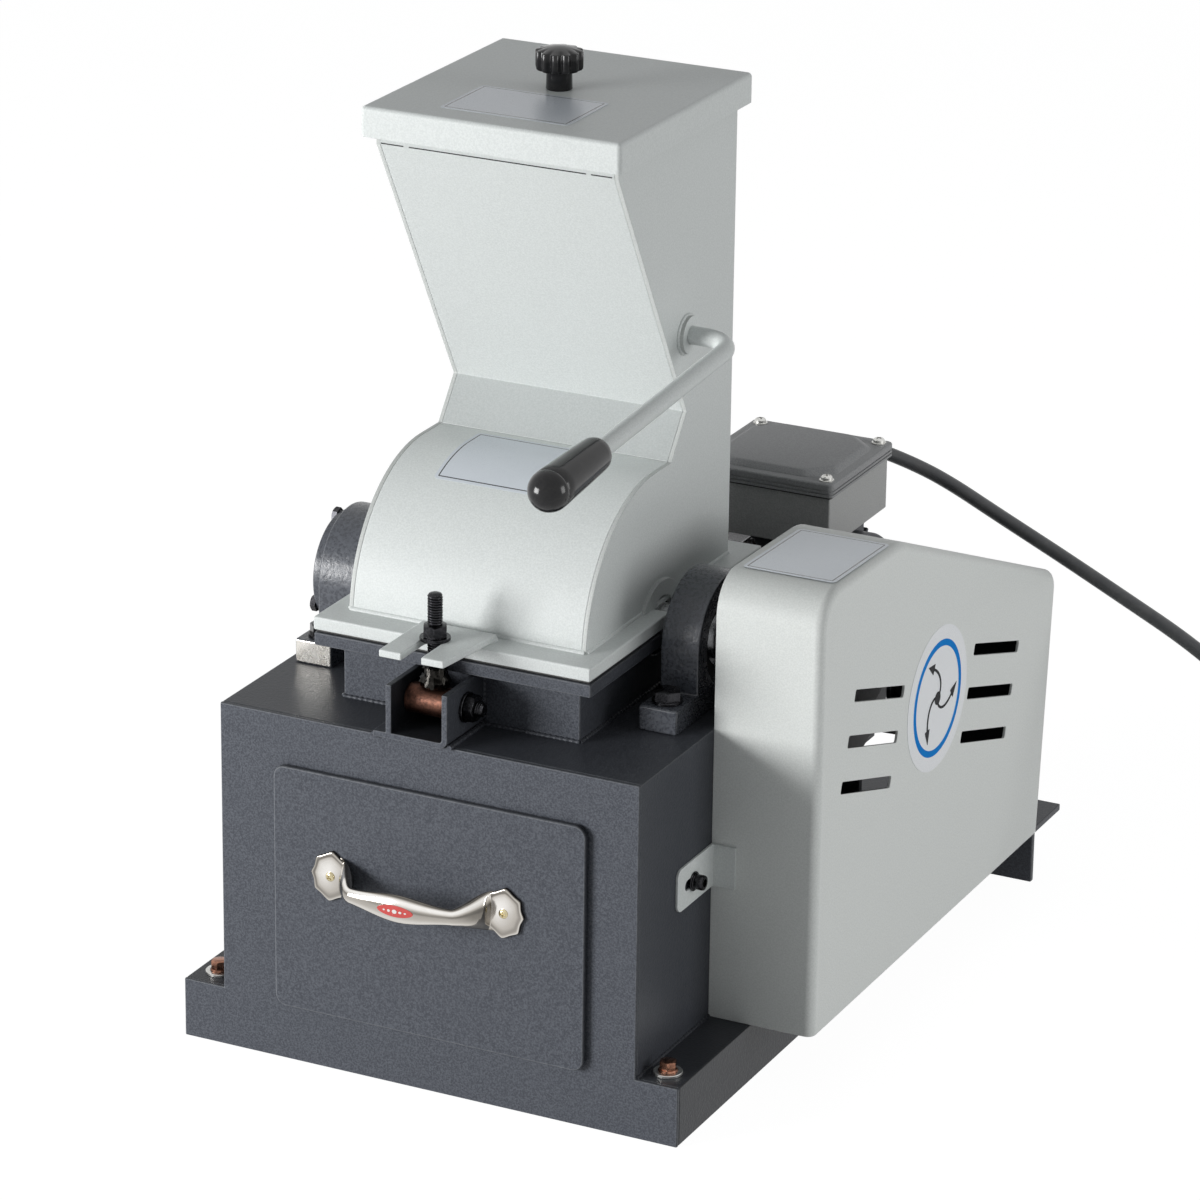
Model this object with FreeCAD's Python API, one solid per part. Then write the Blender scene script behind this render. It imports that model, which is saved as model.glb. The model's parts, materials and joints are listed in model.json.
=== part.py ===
import FreeCAD, Part
import math
import os

# Laboratory hammer mill with hopper, belt drive and sample drawer.
# Millimetres and degrees. While it is built, x = 0 is the mid-plane of the mill, y = 0 the
# front of the cabinet and z = 0 the floor. Every piece is then moved so that the origin lies
# under the middle of the whole machine.

os.makedirs("parts", exist_ok=True)

# Shared values
OVERRUN = 5.0
TOUCH_CLEARANCE = 0.3
RUNNING_CLEARANCE = 0.05
SHEET = 3.0
THIN_SHEET = 2.0

# Base and cabinet
CABINET_WIDTH = 300.0
CABINET_HEIGHT = 201.0
CABINET_DEPTH = 300.0
BASE_LEDGE = 30.0
BASE_HEIGHT = 41.0
BASE_REAR_REACH = 195.0
RAIL_OVERHANG = 40.0
RAIL_FLANGE = 52.0
RAIL_THICKNESS = 5.0
LEDGE_BOLT_INSET = 16.0
LEDGE_BOLT_Y = 19.0
LEDGE_BOLT_REAR_INSET = 25.0
LEDGE_BOLT_LENGTH = 25.0
LEDGE_WASHER_RADIUS = 9.5
LEDGE_FLANGE_RADIUS = 6.6
LEDGE_FLANGE_HEIGHT = 1.5
LEDGE_HEAD = 6.0

# Fasteners
WASHER_HEIGHT = 2.0
SMALL_WASHER_HEIGHT = 1.0
SMALL_WASHER_RADIUS = 5.0
M4_RADIUS = 2.0
M4_HEAD_RADIUS = 4.0
M4_HEAD = 2.8
M6_RADIUS = 3.0
M6_FLATS = 10.0
M6_HEAD = 4.0
M10_RADIUS = 5.0
M10_FLATS = 16.0
M10_HEAD = 6.4
M10_WASHER_RADIUS = 10.0

# Drawer
DRAWER_FRONT_LAP = 9.0
DRAWER_FRONT_SHIFT = 3.5
DRAWER_FRONT_DROP = 1.0
DRAWER_FRONT_HEAD_ROOM = 33.0
DRAWER_FRONT_THICKNESS = 4.0
DRAWER_FRONT_GAP = 1.0
DRAWER_FRONT_CORNER = 8.0
TRAY_SIDE_ROOM = 47.0
TRAY_HEAD_ROOM = 65.0
TRAY_REAR_ROOM = 50.0
TRAY_CLEARANCE = 0.5
RUNNER_LEG = 20.0
RUNNER_REAR_ROOM = 15.0

# Drawer handle
HANDLE_MIDDLE_X = -3.0
HANDLE_RISE = 99.0
HANDLE_HOLE_SPACING = 125.0
ROSETTE_RADIUS = 9.0
ROSETTE_LOBE_RADIUS = 5.0
ROSETTE_LOBES = 8
ROSETTE_THICKNESS = 3.0
HANDLE_BOW = 27.0
HANDLE_BAR_RADIUS = 5.5
HANDLE_NECK_INSET = 12.0
HANDLE_SCREW_RADIUS = 3.2
HANDLE_SCREW_HEAD = 1.6

# Mill housing, flanges and gasket
HOUSING_SIDE_ROOM = 65.0
HOUSING_FRONT = 47.0
HOUSING_REAR = 273.0
HOUSING_WALL = 8.0
FLANGE_OVERHANG = 14.0
LOWER_FLANGE_THICKNESS = 9.0
HOUSING_TOP = 46.5
GASKET_THICKNESS = 2.0
GASKET_INSET = 2.0
HOOD_FLANGE_THICKNESS = 9.0
HOOD_FLANGE_FRONT = 32.0
HOOD_FLANGE_REAR = 288.0
SHAFT_Y = 160.0
SHAFT_HEIGHT = 42.0
SHAFT_HOLE_RADIUS = 20.0
BOSS_RADIUS = 31.0
BOSS_THICKNESS = 2.5

# Hood and hopper
HOOD_ARC_Y = 151.0
HOOD_ARC_HEIGHT = 51.0
HOOD_ARC_RADIUS = 97.0
THROAT_FOOT_Y = 175.5
FOLD_Y = 197.0
FOLD_HEIGHT = 176.0
HOPPER_FRONT = 92.0
HOPPER_BEND_HEIGHT = 358.0
HOPPER_REAR = 265.0
HOPPER_TOP = 382.0

# Lid and knob
LID_SIDE_LAP = 6.0
LID_EDGE_ROUND = 3.0
LID_FRONT = 82.0
LID_REAR = 275.0
LID_SKIRT = 20.0
KNOB_RADIUS = 15.5
KNOB_HEIGHT = 15.0
KNOB_STEM_RADIUS = 8.5
KNOB_STEM_HEIGHT = 13.0
KNOB_FLUTES = 12
KNOB_FLUTE_RADIUS = 2.6

# Feed lever and flap
LEVER_Y = 193.5
LEVER_HEIGHT = 229.5
LEVER_ROD_RADIUS = 6.0
LEVER_ARM_ROOM = 35.5
LEVER_BEND_RADIUS = 21.0
LEVER_REACH = 277.0
LEVER_DROP = 19.0
GRIP_LENGTH = 78.0
GRIP_RADIUS = 13.5
GRIP_NECK_RADIUS = 11.2
BUSH_RADIUS = 12.5
BUSH_LENGTH = 4.0
FLAP_REAR = 62.0
FLAP_FRONT = 12.0
FLAP_SIDE_GAP = 2.0
FLAP_SLEEVE_RADIUS = 8.0

# Clamp at the front of the hood
CLAMP_X = -5.0
CLAMP_Y = 21.5
CLAMP_PIVOT_HEIGHT = 20.7
CHANNEL_WIDTH = 44.0
CHANNEL_HEIGHT = 36.5
CHANNEL_WALL = 4.0
CHANNEL_FRONT = -4.0
CHANNEL_TOE = 9.0
CHANNEL_CORNER = 6.0
LUG_THICKNESS = 5.0
LUG_FRONT = -11.0
LUG_REAR = 48.0
LUG_HALF_WIDTH = 23.0
LUG_FLARE = 7.0
LUG_SLOT_HALF_WIDTH = 7.0
EYE_RADIUS = 10.0
EYE_GAP = 0.5
STUD_RADIUS = 5.0
STUD_TOP = 94.0
COLLAR_RADIUS = 8.0
COLLAR_BOTTOM = 31.0
COLLAR_HEIGHT = 14.0
CLAMP_WASHER_RADIUS = 10.0
CLAMP_WASHER_HEIGHT = 2.2
CLAMP_NUT_HEIGHT = 9.5
CLEVIS_BOLT_REST = 5.0

# Rotor
SHAFT_RADIUS = 15.0
SHAFT_LEFT_INSET = 2.5
SHAFT_STEP = 5.5
PULLEY_SEAT_RADIUS = 12.0
SHAFT_END_ROOM = 22.0
DISC_RADIUS = 52.0
DISC_THICKNESS = 6.0
ROTOR_END_ROOM = 34.0
DISC_COUNT = 4
SPACER_RADIUS = 19.5
PIN_CIRCLE = 42.0
PIN_RADIUS = 5.0
HAMMER_ROWS = 3
FIRST_PIN_ANGLE = 30.0
HAMMER_LENGTH = 28.0
HAMMER_WIDTH = 16.0
HAMMER_THICKNESS = 8.0
SIEVE_RADIUS = 74.0
SIEVE_THICKNESS = 2.0
SIEVE_LIP = 12.0
SIEVE_RAIL_HEIGHT = 9.0
SIEVE_SLOTS_ROUND = 9
SIEVE_SLOTS_ALONG = 6
SIEVE_BAR = 6.0
SIEVE_SLOT_WIDTH = 5.0
DUCT_DROP = 46.0
DUCT_INSET = 19.0

# Shaft bearings
BEARING_HOUSING_WIDTH = 27.0
RIGHT_HOUSING_GAP = 8.5
LEFT_HOUSING_GAP = 16.5
ARCH_RADIUS = 44.0
FOOT_LENGTH = 150.0
FOOT_HEIGHT = 16.5
FOOT_BOLT_INSET = 14.0
BEARING_RADIUS = 31.0
BEARING_WIDTH = 16.0
COVER_RADIUS = 38.0
COVER_THICKNESS = 7.5
COVER_BOLT_CIRCLE = 34.5
COVER_BOLTS = 3
COVER_FIRST_ANGLE = 90.0

# Belt drive
BELT_ROOM = 18.0
BELT_WIDTH = 12.5
BELT_THICKNESS = 9.0
BELT_PROUD = 0.8
PULLEY_WIDTH = 20.0
MILL_PULLEY_RADIUS = 42.0
MOTOR_PULLEY_RADIUS = 50.0

# Motor
MOTOR_SETBACK = 118.0
MOTOR_RISE = 141.0
MOTOR_FRAME_RADIUS = 78.0
MOTOR_BORE_RADIUS = 66.0
MOTOR_FIN_RADIUS = 87.0
MOTOR_FIN_THICKNESS = 3.0
MOTOR_FINS = 28
MOTOR_HALF_LENGTH = 100.0
SHIELD_RADIUS = 83.0
SHIELD_THICKNESS = 12.0
SHIELD_HUB_RADIUS = 42.0
SHIELD_HUB_LENGTH = 12.0
MOTOR_SHAFT_RADIUS = 12.0
ROTOR_CORE_RADIUS = 40.0
STATOR_BORE = 40.6
CORE_HALF_LENGTH = 55.0
FAN_RADIUS = 60.0
FAN_THICKNESS = 8.0
FAN_COVER_LENGTH = 40.0
FAN_SLOTS = 12
FAN_SLOT_WIDTH = 5.0
FAN_SLOT_INNER = 20.0
FAN_SLOT_OUTER = 68.0
MOTOR_FOOT_OUTER = 84.0
MOTOR_FOOT_INNER = 56.0
MOTOR_FOOT_HALF_LENGTH = 75.0
MOTOR_FOOT_THICKNESS = 10.0
MOTOR_SHAFT_HEIGHT = 90.0
MOTOR_BOLT_Y = 72.0
MOTOR_BOLT_X = 62.0
STAND_PLATE = 6.0
STAND_HALF_LENGTH = 95.0
STAND_HALF_DEPTH = 82.0
STAND_LEG_INSET = 20.0

# Terminal box, centred over the drive end of the motor
BOX_X = 62.0
BOX_LENGTH = 100.0
BOX_BREADTH = 98.0
BOX_RISE = 90.0
BOX_HEIGHT = 38.0
BOX_WALL = 3.0
BOX_LID_LIP = 3.0
BOX_LID_THICKNESS = 10.0
BOX_LID_CROWN = 4.0
BOX_LID_CROWN_INSET = 7.0
BOX_LID_CROWN_CHAMFER = 14.0
BOX_LID_CROWN_BEVEL = 3.0
BOX_SCREW_INSET = 8.0
BOX_POST_RADIUS = 5.5
BOX_SCREW_LENGTH = 20.0
BOX_CORNER = 3.0
NECK_INSET = 10.0

# Belt guard
GUARD_WIDTH = 74.0
GUARD_FRONT_ROOM = 52.0
GUARD_TOP_ROOM = 61.0
GUARD_KINK_SETBACK = 71.4
GUARD_KINK_ROOM = 58.0
GUARD_REAR_ROOM = 93.0
GUARD_REAR_RISE = 48.0
GUARD_FRONT_ROUND = 26.0
GUARD_REAR_ROUND = 16.0
GUARD_KINK_ROUND = 60.0
GUARD_EDGE_ROUND = 6.0
LOUVRE_LENGTH = 84.5
LOUVRE_HEIGHT = 8.1
LOUVRE_CORNER = 1.6
LOUVRE_PITCH = 30.0
LOUVRE_LEAN = 17.3
LOUVRE_SETBACK = 4.2
LOUVRE_DROP = 33.0
LOUVRE_OFFSET = 101.0
LOUVRE_RISE = 12.2
LOUVRE_ROWS = 3

# Guard bracket
BRACKET_FRONT = 54.5
BRACKET_BOTTOM = 134.0
BRACKET_HEIGHT = 29.5
BRACKET_FLAP = 18.0
BRACKET_CORNER = 6.0
BRACKET_SLOT_HALF = 3.6
BRACKET_SLOT_START = 69.0
BRACKET_SLOT_END = 77.5
BRACKET_SCREW_LENGTH = 16.0
BRACKET_SCREW_HEAD_RADIUS = 5.0
BRACKET_SCREW_HEAD = 6.0
BRACKET_WASHER_RADIUS = 6.5
BRACKET_SOCKET_RADIUS = 2.6
BRACKET_SOCKET_DEPTH = 3.0

# Hinges at the back of the hood
HINGE_INSET = 25.0
HINGE_PIN_RADIUS = 5.0
HINGE_KNUCKLE_RADIUS = 9.0
HINGE_BACKSET = 14.0
HINGE_KNUCKLE_WIDTH = 16.0
HINGE_SIDE_GAP = 0.5

# Mains lead
CORD_RADIUS = 5.0
GLAND_X = 45.0
GLAND_RISE = 18.0
CORD_LIE = 6.8
GLAND_FLATS = 22.0
GLAND_HEX = 8.0
GLAND_DOME_RADIUS = 9.0
GLAND_DOME = 14.0
GLAND_NECK_RADIUS = 8.0
# Each point: to the right of the gland's mouth, behind it, and its share of the mouth's height
CORD_ROUTE = [
    (0.0, 0.0, 1.000),
    (0.0, 31.0, 1.000),
    (15.0, 58.5, 0.982),
    (40.0, 74.0, 0.940),
    (71.0, 74.0, 0.906),
    (118.0, 64.0, 0.848),
    (172.0, 52.0, 0.785),
    (223.0, 41.0, 0.721),
    (275.0, 25.0, 0.665),
    (319.0, 14.0, 0.590),
    (355.0, 4.0, 0.494),
    (385.0, -5.0, 0.374),
    (410.0, -13.0, 0.248),
    (433.0, -21.0, 0.140),
    (457.0, -30.0, 0.062),
    (483.0, -39.0, 0.018),
    (510.0, -48.0, 0.000),
    (538.0, -57.0, 0.000),
]
ROUTE_ARC_SHARE = 0.45
COIL_HALF_TURNS = 6
COIL_STEPS_PER_HALF_TURN = 2
COIL_PITCH = 11.0
COIL_INNER_RADIUS = 46.0
COIL_LAYER_STEP = 10.8
COIL_LEAD = 10.0
COIL_TAIL = 38.0
TIE_WIDTH = 8.0
TIE_THICKNESS = 1.4
PLUG_LENGTH = 46.0
PLUG_WIDTH = 36.0
PLUG_HEIGHT = 27.0
PLUG_NECK_LENGTH = 18.0
PLUG_NECK_RADIUS = 8.0
PLUG_PIN_RADIUS = 2.4
PLUG_PIN_LENGTH = 19.0
PLUG_PIN_SPACING = 19.0

# Places worked out from the sizes above
HALF_CABINET = CABINET_WIDTH / 2
BASE_WIDTH = CABINET_WIDTH + 2 * BASE_LEDGE
HALF_BASE = BASE_WIDTH / 2
BASE_DEPTH = CABINET_DEPTH + BASE_REAR_REACH
CABINET_TOP = BASE_HEIGHT + CABINET_HEIGHT
RAIL_RIGHT_X = HALF_BASE + RAIL_OVERHANG
RAIL_REAR_Y = BASE_DEPTH + RAIL_FLANGE
TRAY_WIDTH = CABINET_WIDTH - 2 * TRAY_SIDE_ROOM
TRAY_HEIGHT = CABINET_HEIGHT - TRAY_HEAD_ROOM
TRAY_DEPTH = CABINET_DEPTH - TRAY_REAR_ROOM
RUNNER_DEPTH = CABINET_DEPTH - RUNNER_REAR_ROOM
DRAWER_FACE_Y = -DRAWER_FRONT_GAP - DRAWER_FRONT_THICKNESS
HANDLE_Z = BASE_HEIGHT + HANDLE_RISE
HOUSING_WIDTH = CABINET_WIDTH - 2 * HOUSING_SIDE_ROOM
HALF_HOUSING = HOUSING_WIDTH / 2
HOUSING_RIM_Z = CABINET_TOP + HOUSING_TOP
GASKET_TOP_Z = HOUSING_RIM_Z + GASKET_THICKNESS
HOOD_BASE_Z = GASKET_TOP_Z + HOOD_FLANGE_THICKNESS
SHAFT_Z = CABINET_TOP + SHAFT_HEIGHT
HALF_HOOD = HALF_HOUSING
HOOD_ARC_Z = CABINET_TOP + HOOD_ARC_HEIGHT
HOOD_TOP_Z = HOOD_ARC_Z + HOOD_ARC_RADIUS
HOPPER_TOP_Z = CABINET_TOP + HOPPER_TOP
LID_TOP_Z = HOPPER_TOP_Z + THIN_SHEET
HALF_LID = HALF_HOOD + LID_SIDE_LAP
LEVER_Z = CABINET_TOP + LEVER_HEIGHT
LEVER_ARM_X = HALF_HOOD + LEVER_ARM_ROOM
LEVER_TILT = math.atan2(LEVER_DROP, LEVER_REACH)
LEVER_TIP_Y = LEVER_Y - (LEVER_REACH - GRIP_RADIUS) * math.cos(LEVER_TILT) - GRIP_RADIUS
LEVER_HOLE = LEVER_ROD_RADIUS + RUNNING_CLEARANCE
LUG_TOP_Z = HOOD_BASE_Z + LUG_THICKNESS
CLAMP_PIVOT_Z = CABINET_TOP + CLAMP_PIVOT_HEIGHT
HINGE_PIN_HOLE = HINGE_PIN_RADIUS + RUNNING_CLEARANCE
HINGE_X = HALF_HOUSING - HINGE_INSET
RIGHT_HOUSING_X = HALF_HOUSING + FLANGE_OVERHANG + RIGHT_HOUSING_GAP
LEFT_HOUSING_X = -HALF_HOUSING - FLANGE_OVERHANG - LEFT_HOUSING_GAP - BEARING_HOUSING_WIDTH
FOOT_TOP_Z = CABINET_TOP + FOOT_HEIGHT
BELT_X = HALF_CABINET + BELT_ROOM
SHAFT_LEFT = LEFT_HOUSING_X + SHAFT_LEFT_INSET
SHAFT_STEP_X = RIGHT_HOUSING_X + BEARING_HOUSING_WIDTH + SHAFT_STEP
SHAFT_RIGHT = BELT_X + SHAFT_END_ROOM
MOTOR_Y = CABINET_DEPTH + MOTOR_SETBACK
MOTOR_Z = BASE_HEIGHT + MOTOR_RISE
MOTOR_FOOT_Z = MOTOR_Z - MOTOR_SHAFT_HEIGHT
BOX_BOTTOM = MOTOR_Z + BOX_RISE
BOX_TOP = BOX_BOTTOM + BOX_HEIGHT
GLAND_Z = BOX_BOTTOM + GLAND_RISE
GUARD_INNER_X = HALF_CABINET
GUARD_OUTER_X = GUARD_INNER_X + GUARD_WIDTH
GUARD_FRONT = SHAFT_Y - GUARD_FRONT_ROOM
GUARD_TOP = SHAFT_Z + GUARD_TOP_ROOM
GUARD_KINK_Y = SHAFT_Y + GUARD_KINK_SETBACK
GUARD_KINK_Z = SHAFT_Z + GUARD_KINK_ROOM
GUARD_REAR_TOP_Y = MOTOR_Y + GUARD_REAR_ROOM
GUARD_REAR_TOP_Z = MOTOR_Z + GUARD_REAR_RISE
LOUVRE_Y = (SHAFT_Y + MOTOR_Y) / 2 + LOUVRE_SETBACK
LOUVRE_Z = (SHAFT_Z + MOTOR_Z) / 2 - LOUVRE_DROP
BRACKET_MIDDLE_Z = BRACKET_BOTTOM + BRACKET_HEIGHT / 2
MIDDLE_X = (GUARD_OUTER_X - HALF_BASE) / 2
MIDDLE_Y = (RAIL_REAR_Y + LEVER_TIP_Y) / 2
DISC_PITCH = (HOUSING_WIDTH - 2 * HOUSING_WALL - ROTOR_END_ROOM) / (DISC_COUNT - 1)
PIN_ANGLES = [FIRST_PIN_ANGLE + 360.0 * row / HAMMER_ROWS for row in range(HAMMER_ROWS)]

X = FreeCAD.Vector(1, 0, 0)
Y = FreeCAD.Vector(0, 1, 0)
Z = FreeCAD.Vector(0, 0, 1)


def at(x, y, z):
    return FreeCAD.Vector(x, y, z)


def save(name, *shapes):
    body = shapes[0] if len(shapes) == 1 else Part.makeCompound(list(shapes))
    body = body.copy()
    body.translate(at(-MIDDLE_X, -MIDDLE_Y, 0))
    body.exportStep("parts/" + name + ".step")


def block(x0, x1, y0, y1, z0, z1):
    return Part.makeBox(x1 - x0, y1 - y0, z1 - z0, at(x0, y0, z0))


def cylinder(start, length, radius, axis):
    return Part.makeCylinder(radius, length, start, axis)


def ring(start, length, outer, inner, axis):
    return cylinder(start, length, outer, axis).cut(cylinder(start, length, inner, axis))


def hexagon(start, length, flats, axis):
    corner = flats / math.sqrt(3)
    side = Z if axis != Z else X
    turned = axis.cross(side)
    points = []
    for step in range(6):
        angle = math.radians(60 * step)
        points.append(start + side * (corner * math.cos(angle)) + turned * (corner * math.sin(angle)))
    face = Part.Face(Part.makePolygon(points + points[:1]))
    return face.extrude(axis * length)


def washer(start, height, outer, inner, axis):
    return ring(start, height, outer, inner, axis)


def corner_arc(before, corner, after, radius):
    """The tangent arc that rounds one corner of a path: start, middle and end."""
    back = (before - corner).normalize()
    on = (after - corner).normalize()
    half = back.getAngle(on) / 2
    reach = radius / math.tan(half)
    middle = (back + on).normalize() * (radius / math.sin(half) - radius)
    return corner + back * reach, corner + middle, corner + on * reach


def rounded_wire(points, radii):
    """A closed outline through the points, each corner rounded by its radius (0 is sharp)."""
    edges = []
    count = len(points)
    spans = []
    for index in range(count):
        corner = points[index]
        if radii[index] > 0:
            spans.append(corner_arc(points[index - 1], corner, points[(index + 1) % count], radii[index]))
        else:
            spans.append((corner, None, corner))
    for index in range(count):
        start, middle, end = spans[index]
        if middle is not None:
            edges.append(Part.Arc(start, middle, end).toShape())
        following = spans[(index + 1) % count][0]
        edges.append(Part.LineSegment(end, following).toShape())
    return Part.Wire(edges)


def plate_x(wire, x0, x1):
    """A wire drawn at x = 0 made into a plate from x0 to x1."""
    face = Part.Face(wire)
    face.translate(X * x0)
    return face.extrude(X * (x1 - x0))


def rounded_panel(x0, x1, z0, z1, radius, y0, y1):
    corners = [at(x0, y0, z0), at(x1, y0, z0), at(x1, y0, z1), at(x0, y0, z1)]
    return Part.Face(rounded_wire(corners, [radius] * 4)).extrude(Y * (y1 - y0))


def sheet_x(points, thickness, x0, x1):
    """A bent sheet along points in the y-z plane, its thickness to the right of the path."""
    count = len(points)
    inner = []
    for index in range(count):
        before = points[max(index - 1, 0)]
        after = points[min(index + 1, count - 1)]
        first = (points[index] - before) if index > 0 else (after - points[index])
        second = (after - points[index]) if index < count - 1 else first
        first.normalize()
        second.normalize()
        normal = at(0, first.z + second.z, -first.y - second.y).normalize()
        reach = thickness / normal.dot(at(0, first.z, -first.y))
        inner.append(points[index] + normal * reach)
    outline = points + inner[::-1]
    return plate_x(Part.makePolygon(outline + outline[:1]), x0, x1)


def through_shaft_hole(x0, x1):
    return cylinder(at(x0, SHAFT_Y, SHAFT_Z), x1 - x0, SHAFT_HOLE_RADIUS, X)


def round_places(count, radius, y, z, first_angle):
    places = []
    for step in range(count):
        angle = math.radians(first_angle + 360.0 * step / count)
        places.append((y + radius * math.cos(angle), z + radius * math.sin(angle)))
    return places


def bolt_down(x, y, seat_z, length, radius, flats, head, washer_radius):
    """A hexagon bolt standing on its washer, pointing down into what carries it."""
    head_z = seat_z + WASHER_HEIGHT
    bolt = hexagon(at(x, y, head_z), head, flats, Z)
    bolt = bolt.fuse(cylinder(at(x, y, head_z - length), length, radius, Z))
    disc = washer(at(x, y, seat_z), WASHER_HEIGHT, washer_radius, radius, Z)
    return [bolt, disc]


# Base and cabinet
def ledge_bolt_places():
    rear = BASE_DEPTH - LEDGE_BOLT_REAR_INSET
    ledge_bolt_x = HALF_BASE - LEDGE_BOLT_INSET
    return [(side * ledge_bolt_x, y) for y in (LEDGE_BOLT_Y, rear) for side in (-1, 1)]


def base_frame():
    outer = block(-HALF_BASE, HALF_BASE, SHEET, BASE_DEPTH, 0, BASE_HEIGHT)
    hollow = block(SHEET - HALF_BASE, HALF_BASE - SHEET, 0, BASE_DEPTH - SHEET,
                   -OVERRUN, BASE_HEIGHT - SHEET)
    frame = outer.cut(hollow)
    for x, y in ledge_bolt_places():
        frame = frame.cut(cylinder(at(x, y, 0), CABINET_TOP, M6_RADIUS, Z))
    return frame.multiFuse(drawer_runners()).removeSplitter()


def ledge_bolts():
    pieces = []
    for x, y in ledge_bolt_places():
        seat = BASE_HEIGHT + WASHER_HEIGHT
        bolt = cylinder(at(x, y, seat), LEDGE_FLANGE_HEIGHT, LEDGE_FLANGE_RADIUS, Z)
        bolt = bolt.fuse(hexagon(at(x, y, seat + LEDGE_FLANGE_HEIGHT), LEDGE_HEAD, M6_FLATS, Z))
        bolt = bolt.fuse(cylinder(at(x, y, seat - LEDGE_BOLT_LENGTH), LEDGE_BOLT_LENGTH, M6_RADIUS, Z))
        pieces.append(bolt)
        pieces.append(washer(at(x, y, BASE_HEIGHT), WASHER_HEIGHT, LEDGE_WASHER_RADIUS, M6_RADIUS, Z))
    return pieces


def drawer_opening(y0, y1):
    half = TRAY_WIDTH / 2 + TRAY_CLEARANCE
    bottom = BASE_HEIGHT + SHEET
    return block(-half, half, y0, y1, bottom, bottom + TRAY_HEIGHT + 2 * TRAY_CLEARANCE)


def front_sheet():
    sheet = block(-HALF_BASE, HALF_BASE, 0, SHEET, 0, BASE_HEIGHT)
    sheet = sheet.fuse(block(-HALF_CABINET, HALF_CABINET, 0, SHEET, BASE_HEIGHT, CABINET_TOP))
    return sheet.removeSplitter().cut(drawer_opening(-OVERRUN, SHEET + OVERRUN))


def discharge_opening():
    half = HALF_HOUSING - HOUSING_WALL
    front = HOUSING_FRONT + HOUSING_WALL + DUCT_INSET
    rear = HOUSING_REAR - HOUSING_WALL - DUCT_INSET
    return half, front, rear


def cabinet_shell():
    shell = block(-HALF_CABINET, HALF_CABINET, SHEET, CABINET_DEPTH, BASE_HEIGHT, CABINET_TOP)
    shell = shell.cut(block(SHEET - HALF_CABINET, HALF_CABINET - SHEET, 0, CABINET_DEPTH - SHEET,
                            0, CABINET_TOP - SHEET))
    half, front, rear = discharge_opening()
    bottom = CABINET_TOP - DUCT_DROP
    duct = block(-half - THIN_SHEET, half + THIN_SHEET, front - THIN_SHEET, rear + THIN_SHEET,
                 bottom, CABINET_TOP - SHEET)
    hole = block(-half, half, front, rear, bottom - OVERRUN, CABINET_TOP + OVERRUN)
    screw_hole = cylinder(at(0, BRACKET_SLOT_END, BRACKET_MIDDLE_Z), BASE_WIDTH, M6_RADIUS, X)
    return shell.fuse(duct).cut(hole).cut(screw_hole).removeSplitter()


def rear_rail():
    web = block(-HALF_BASE, RAIL_RIGHT_X, BASE_DEPTH, BASE_DEPTH + RAIL_THICKNESS, 0, BASE_HEIGHT)
    flange = block(-HALF_BASE, RAIL_RIGHT_X, BASE_DEPTH, RAIL_REAR_Y,
                   BASE_HEIGHT - RAIL_THICKNESS, BASE_HEIGHT)
    return web.fuse(flange).removeSplitter()


# Drawer
def drawer_front():
    half = TRAY_WIDTH / 2 + DRAWER_FRONT_LAP
    bottom = BASE_HEIGHT - DRAWER_FRONT_DROP
    panel = rounded_panel(DRAWER_FRONT_SHIFT - half, DRAWER_FRONT_SHIFT + half, bottom,
                          CABINET_TOP - DRAWER_FRONT_HEAD_ROOM, DRAWER_FRONT_CORNER,
                          DRAWER_FACE_Y, -DRAWER_FRONT_GAP)
    for x in handle_screw_places():
        panel = panel.cut(cylinder(at(x, DRAWER_FACE_Y, HANDLE_Z), DRAWER_FRONT_THICKNESS, M4_RADIUS, Y))
    return panel


def drawer_tray():
    half = TRAY_WIDTH / 2
    bottom = BASE_HEIGHT + SHEET + TRAY_CLEARANCE
    tray = block(-half, half, -DRAWER_FRONT_GAP, TRAY_DEPTH, bottom, bottom + TRAY_HEIGHT)
    return tray.cut(block(THIN_SHEET - half, half - THIN_SHEET, THIN_SHEET - DRAWER_FRONT_GAP,
                          TRAY_DEPTH - THIN_SHEET, bottom + THIN_SHEET, CABINET_TOP))


def drawer_runners():
    """Angles welded on the deck, left and right of the tray."""
    edge = TRAY_WIDTH / 2 + TRAY_CLEARANCE
    pieces = []
    for side in (-1, 1):
        inner = side * (edge - RUNNER_LEG)
        outer = side * (edge + SHEET)
        low = block(min(inner, outer), max(inner, outer), SHEET, RUNNER_DEPTH,
                    BASE_HEIGHT, BASE_HEIGHT + SHEET)
        wall = block(min(side * edge, outer), max(side * edge, outer), SHEET, RUNNER_DEPTH,
                     BASE_HEIGHT, BASE_HEIGHT + RUNNER_LEG)
        pieces.append(low.fuse(wall).removeSplitter())
    return pieces


def handle_screw_places():
    half = HANDLE_HOLE_SPACING / 2
    return [HANDLE_MIDDLE_X - half, HANDLE_MIDDLE_X + half]


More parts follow.
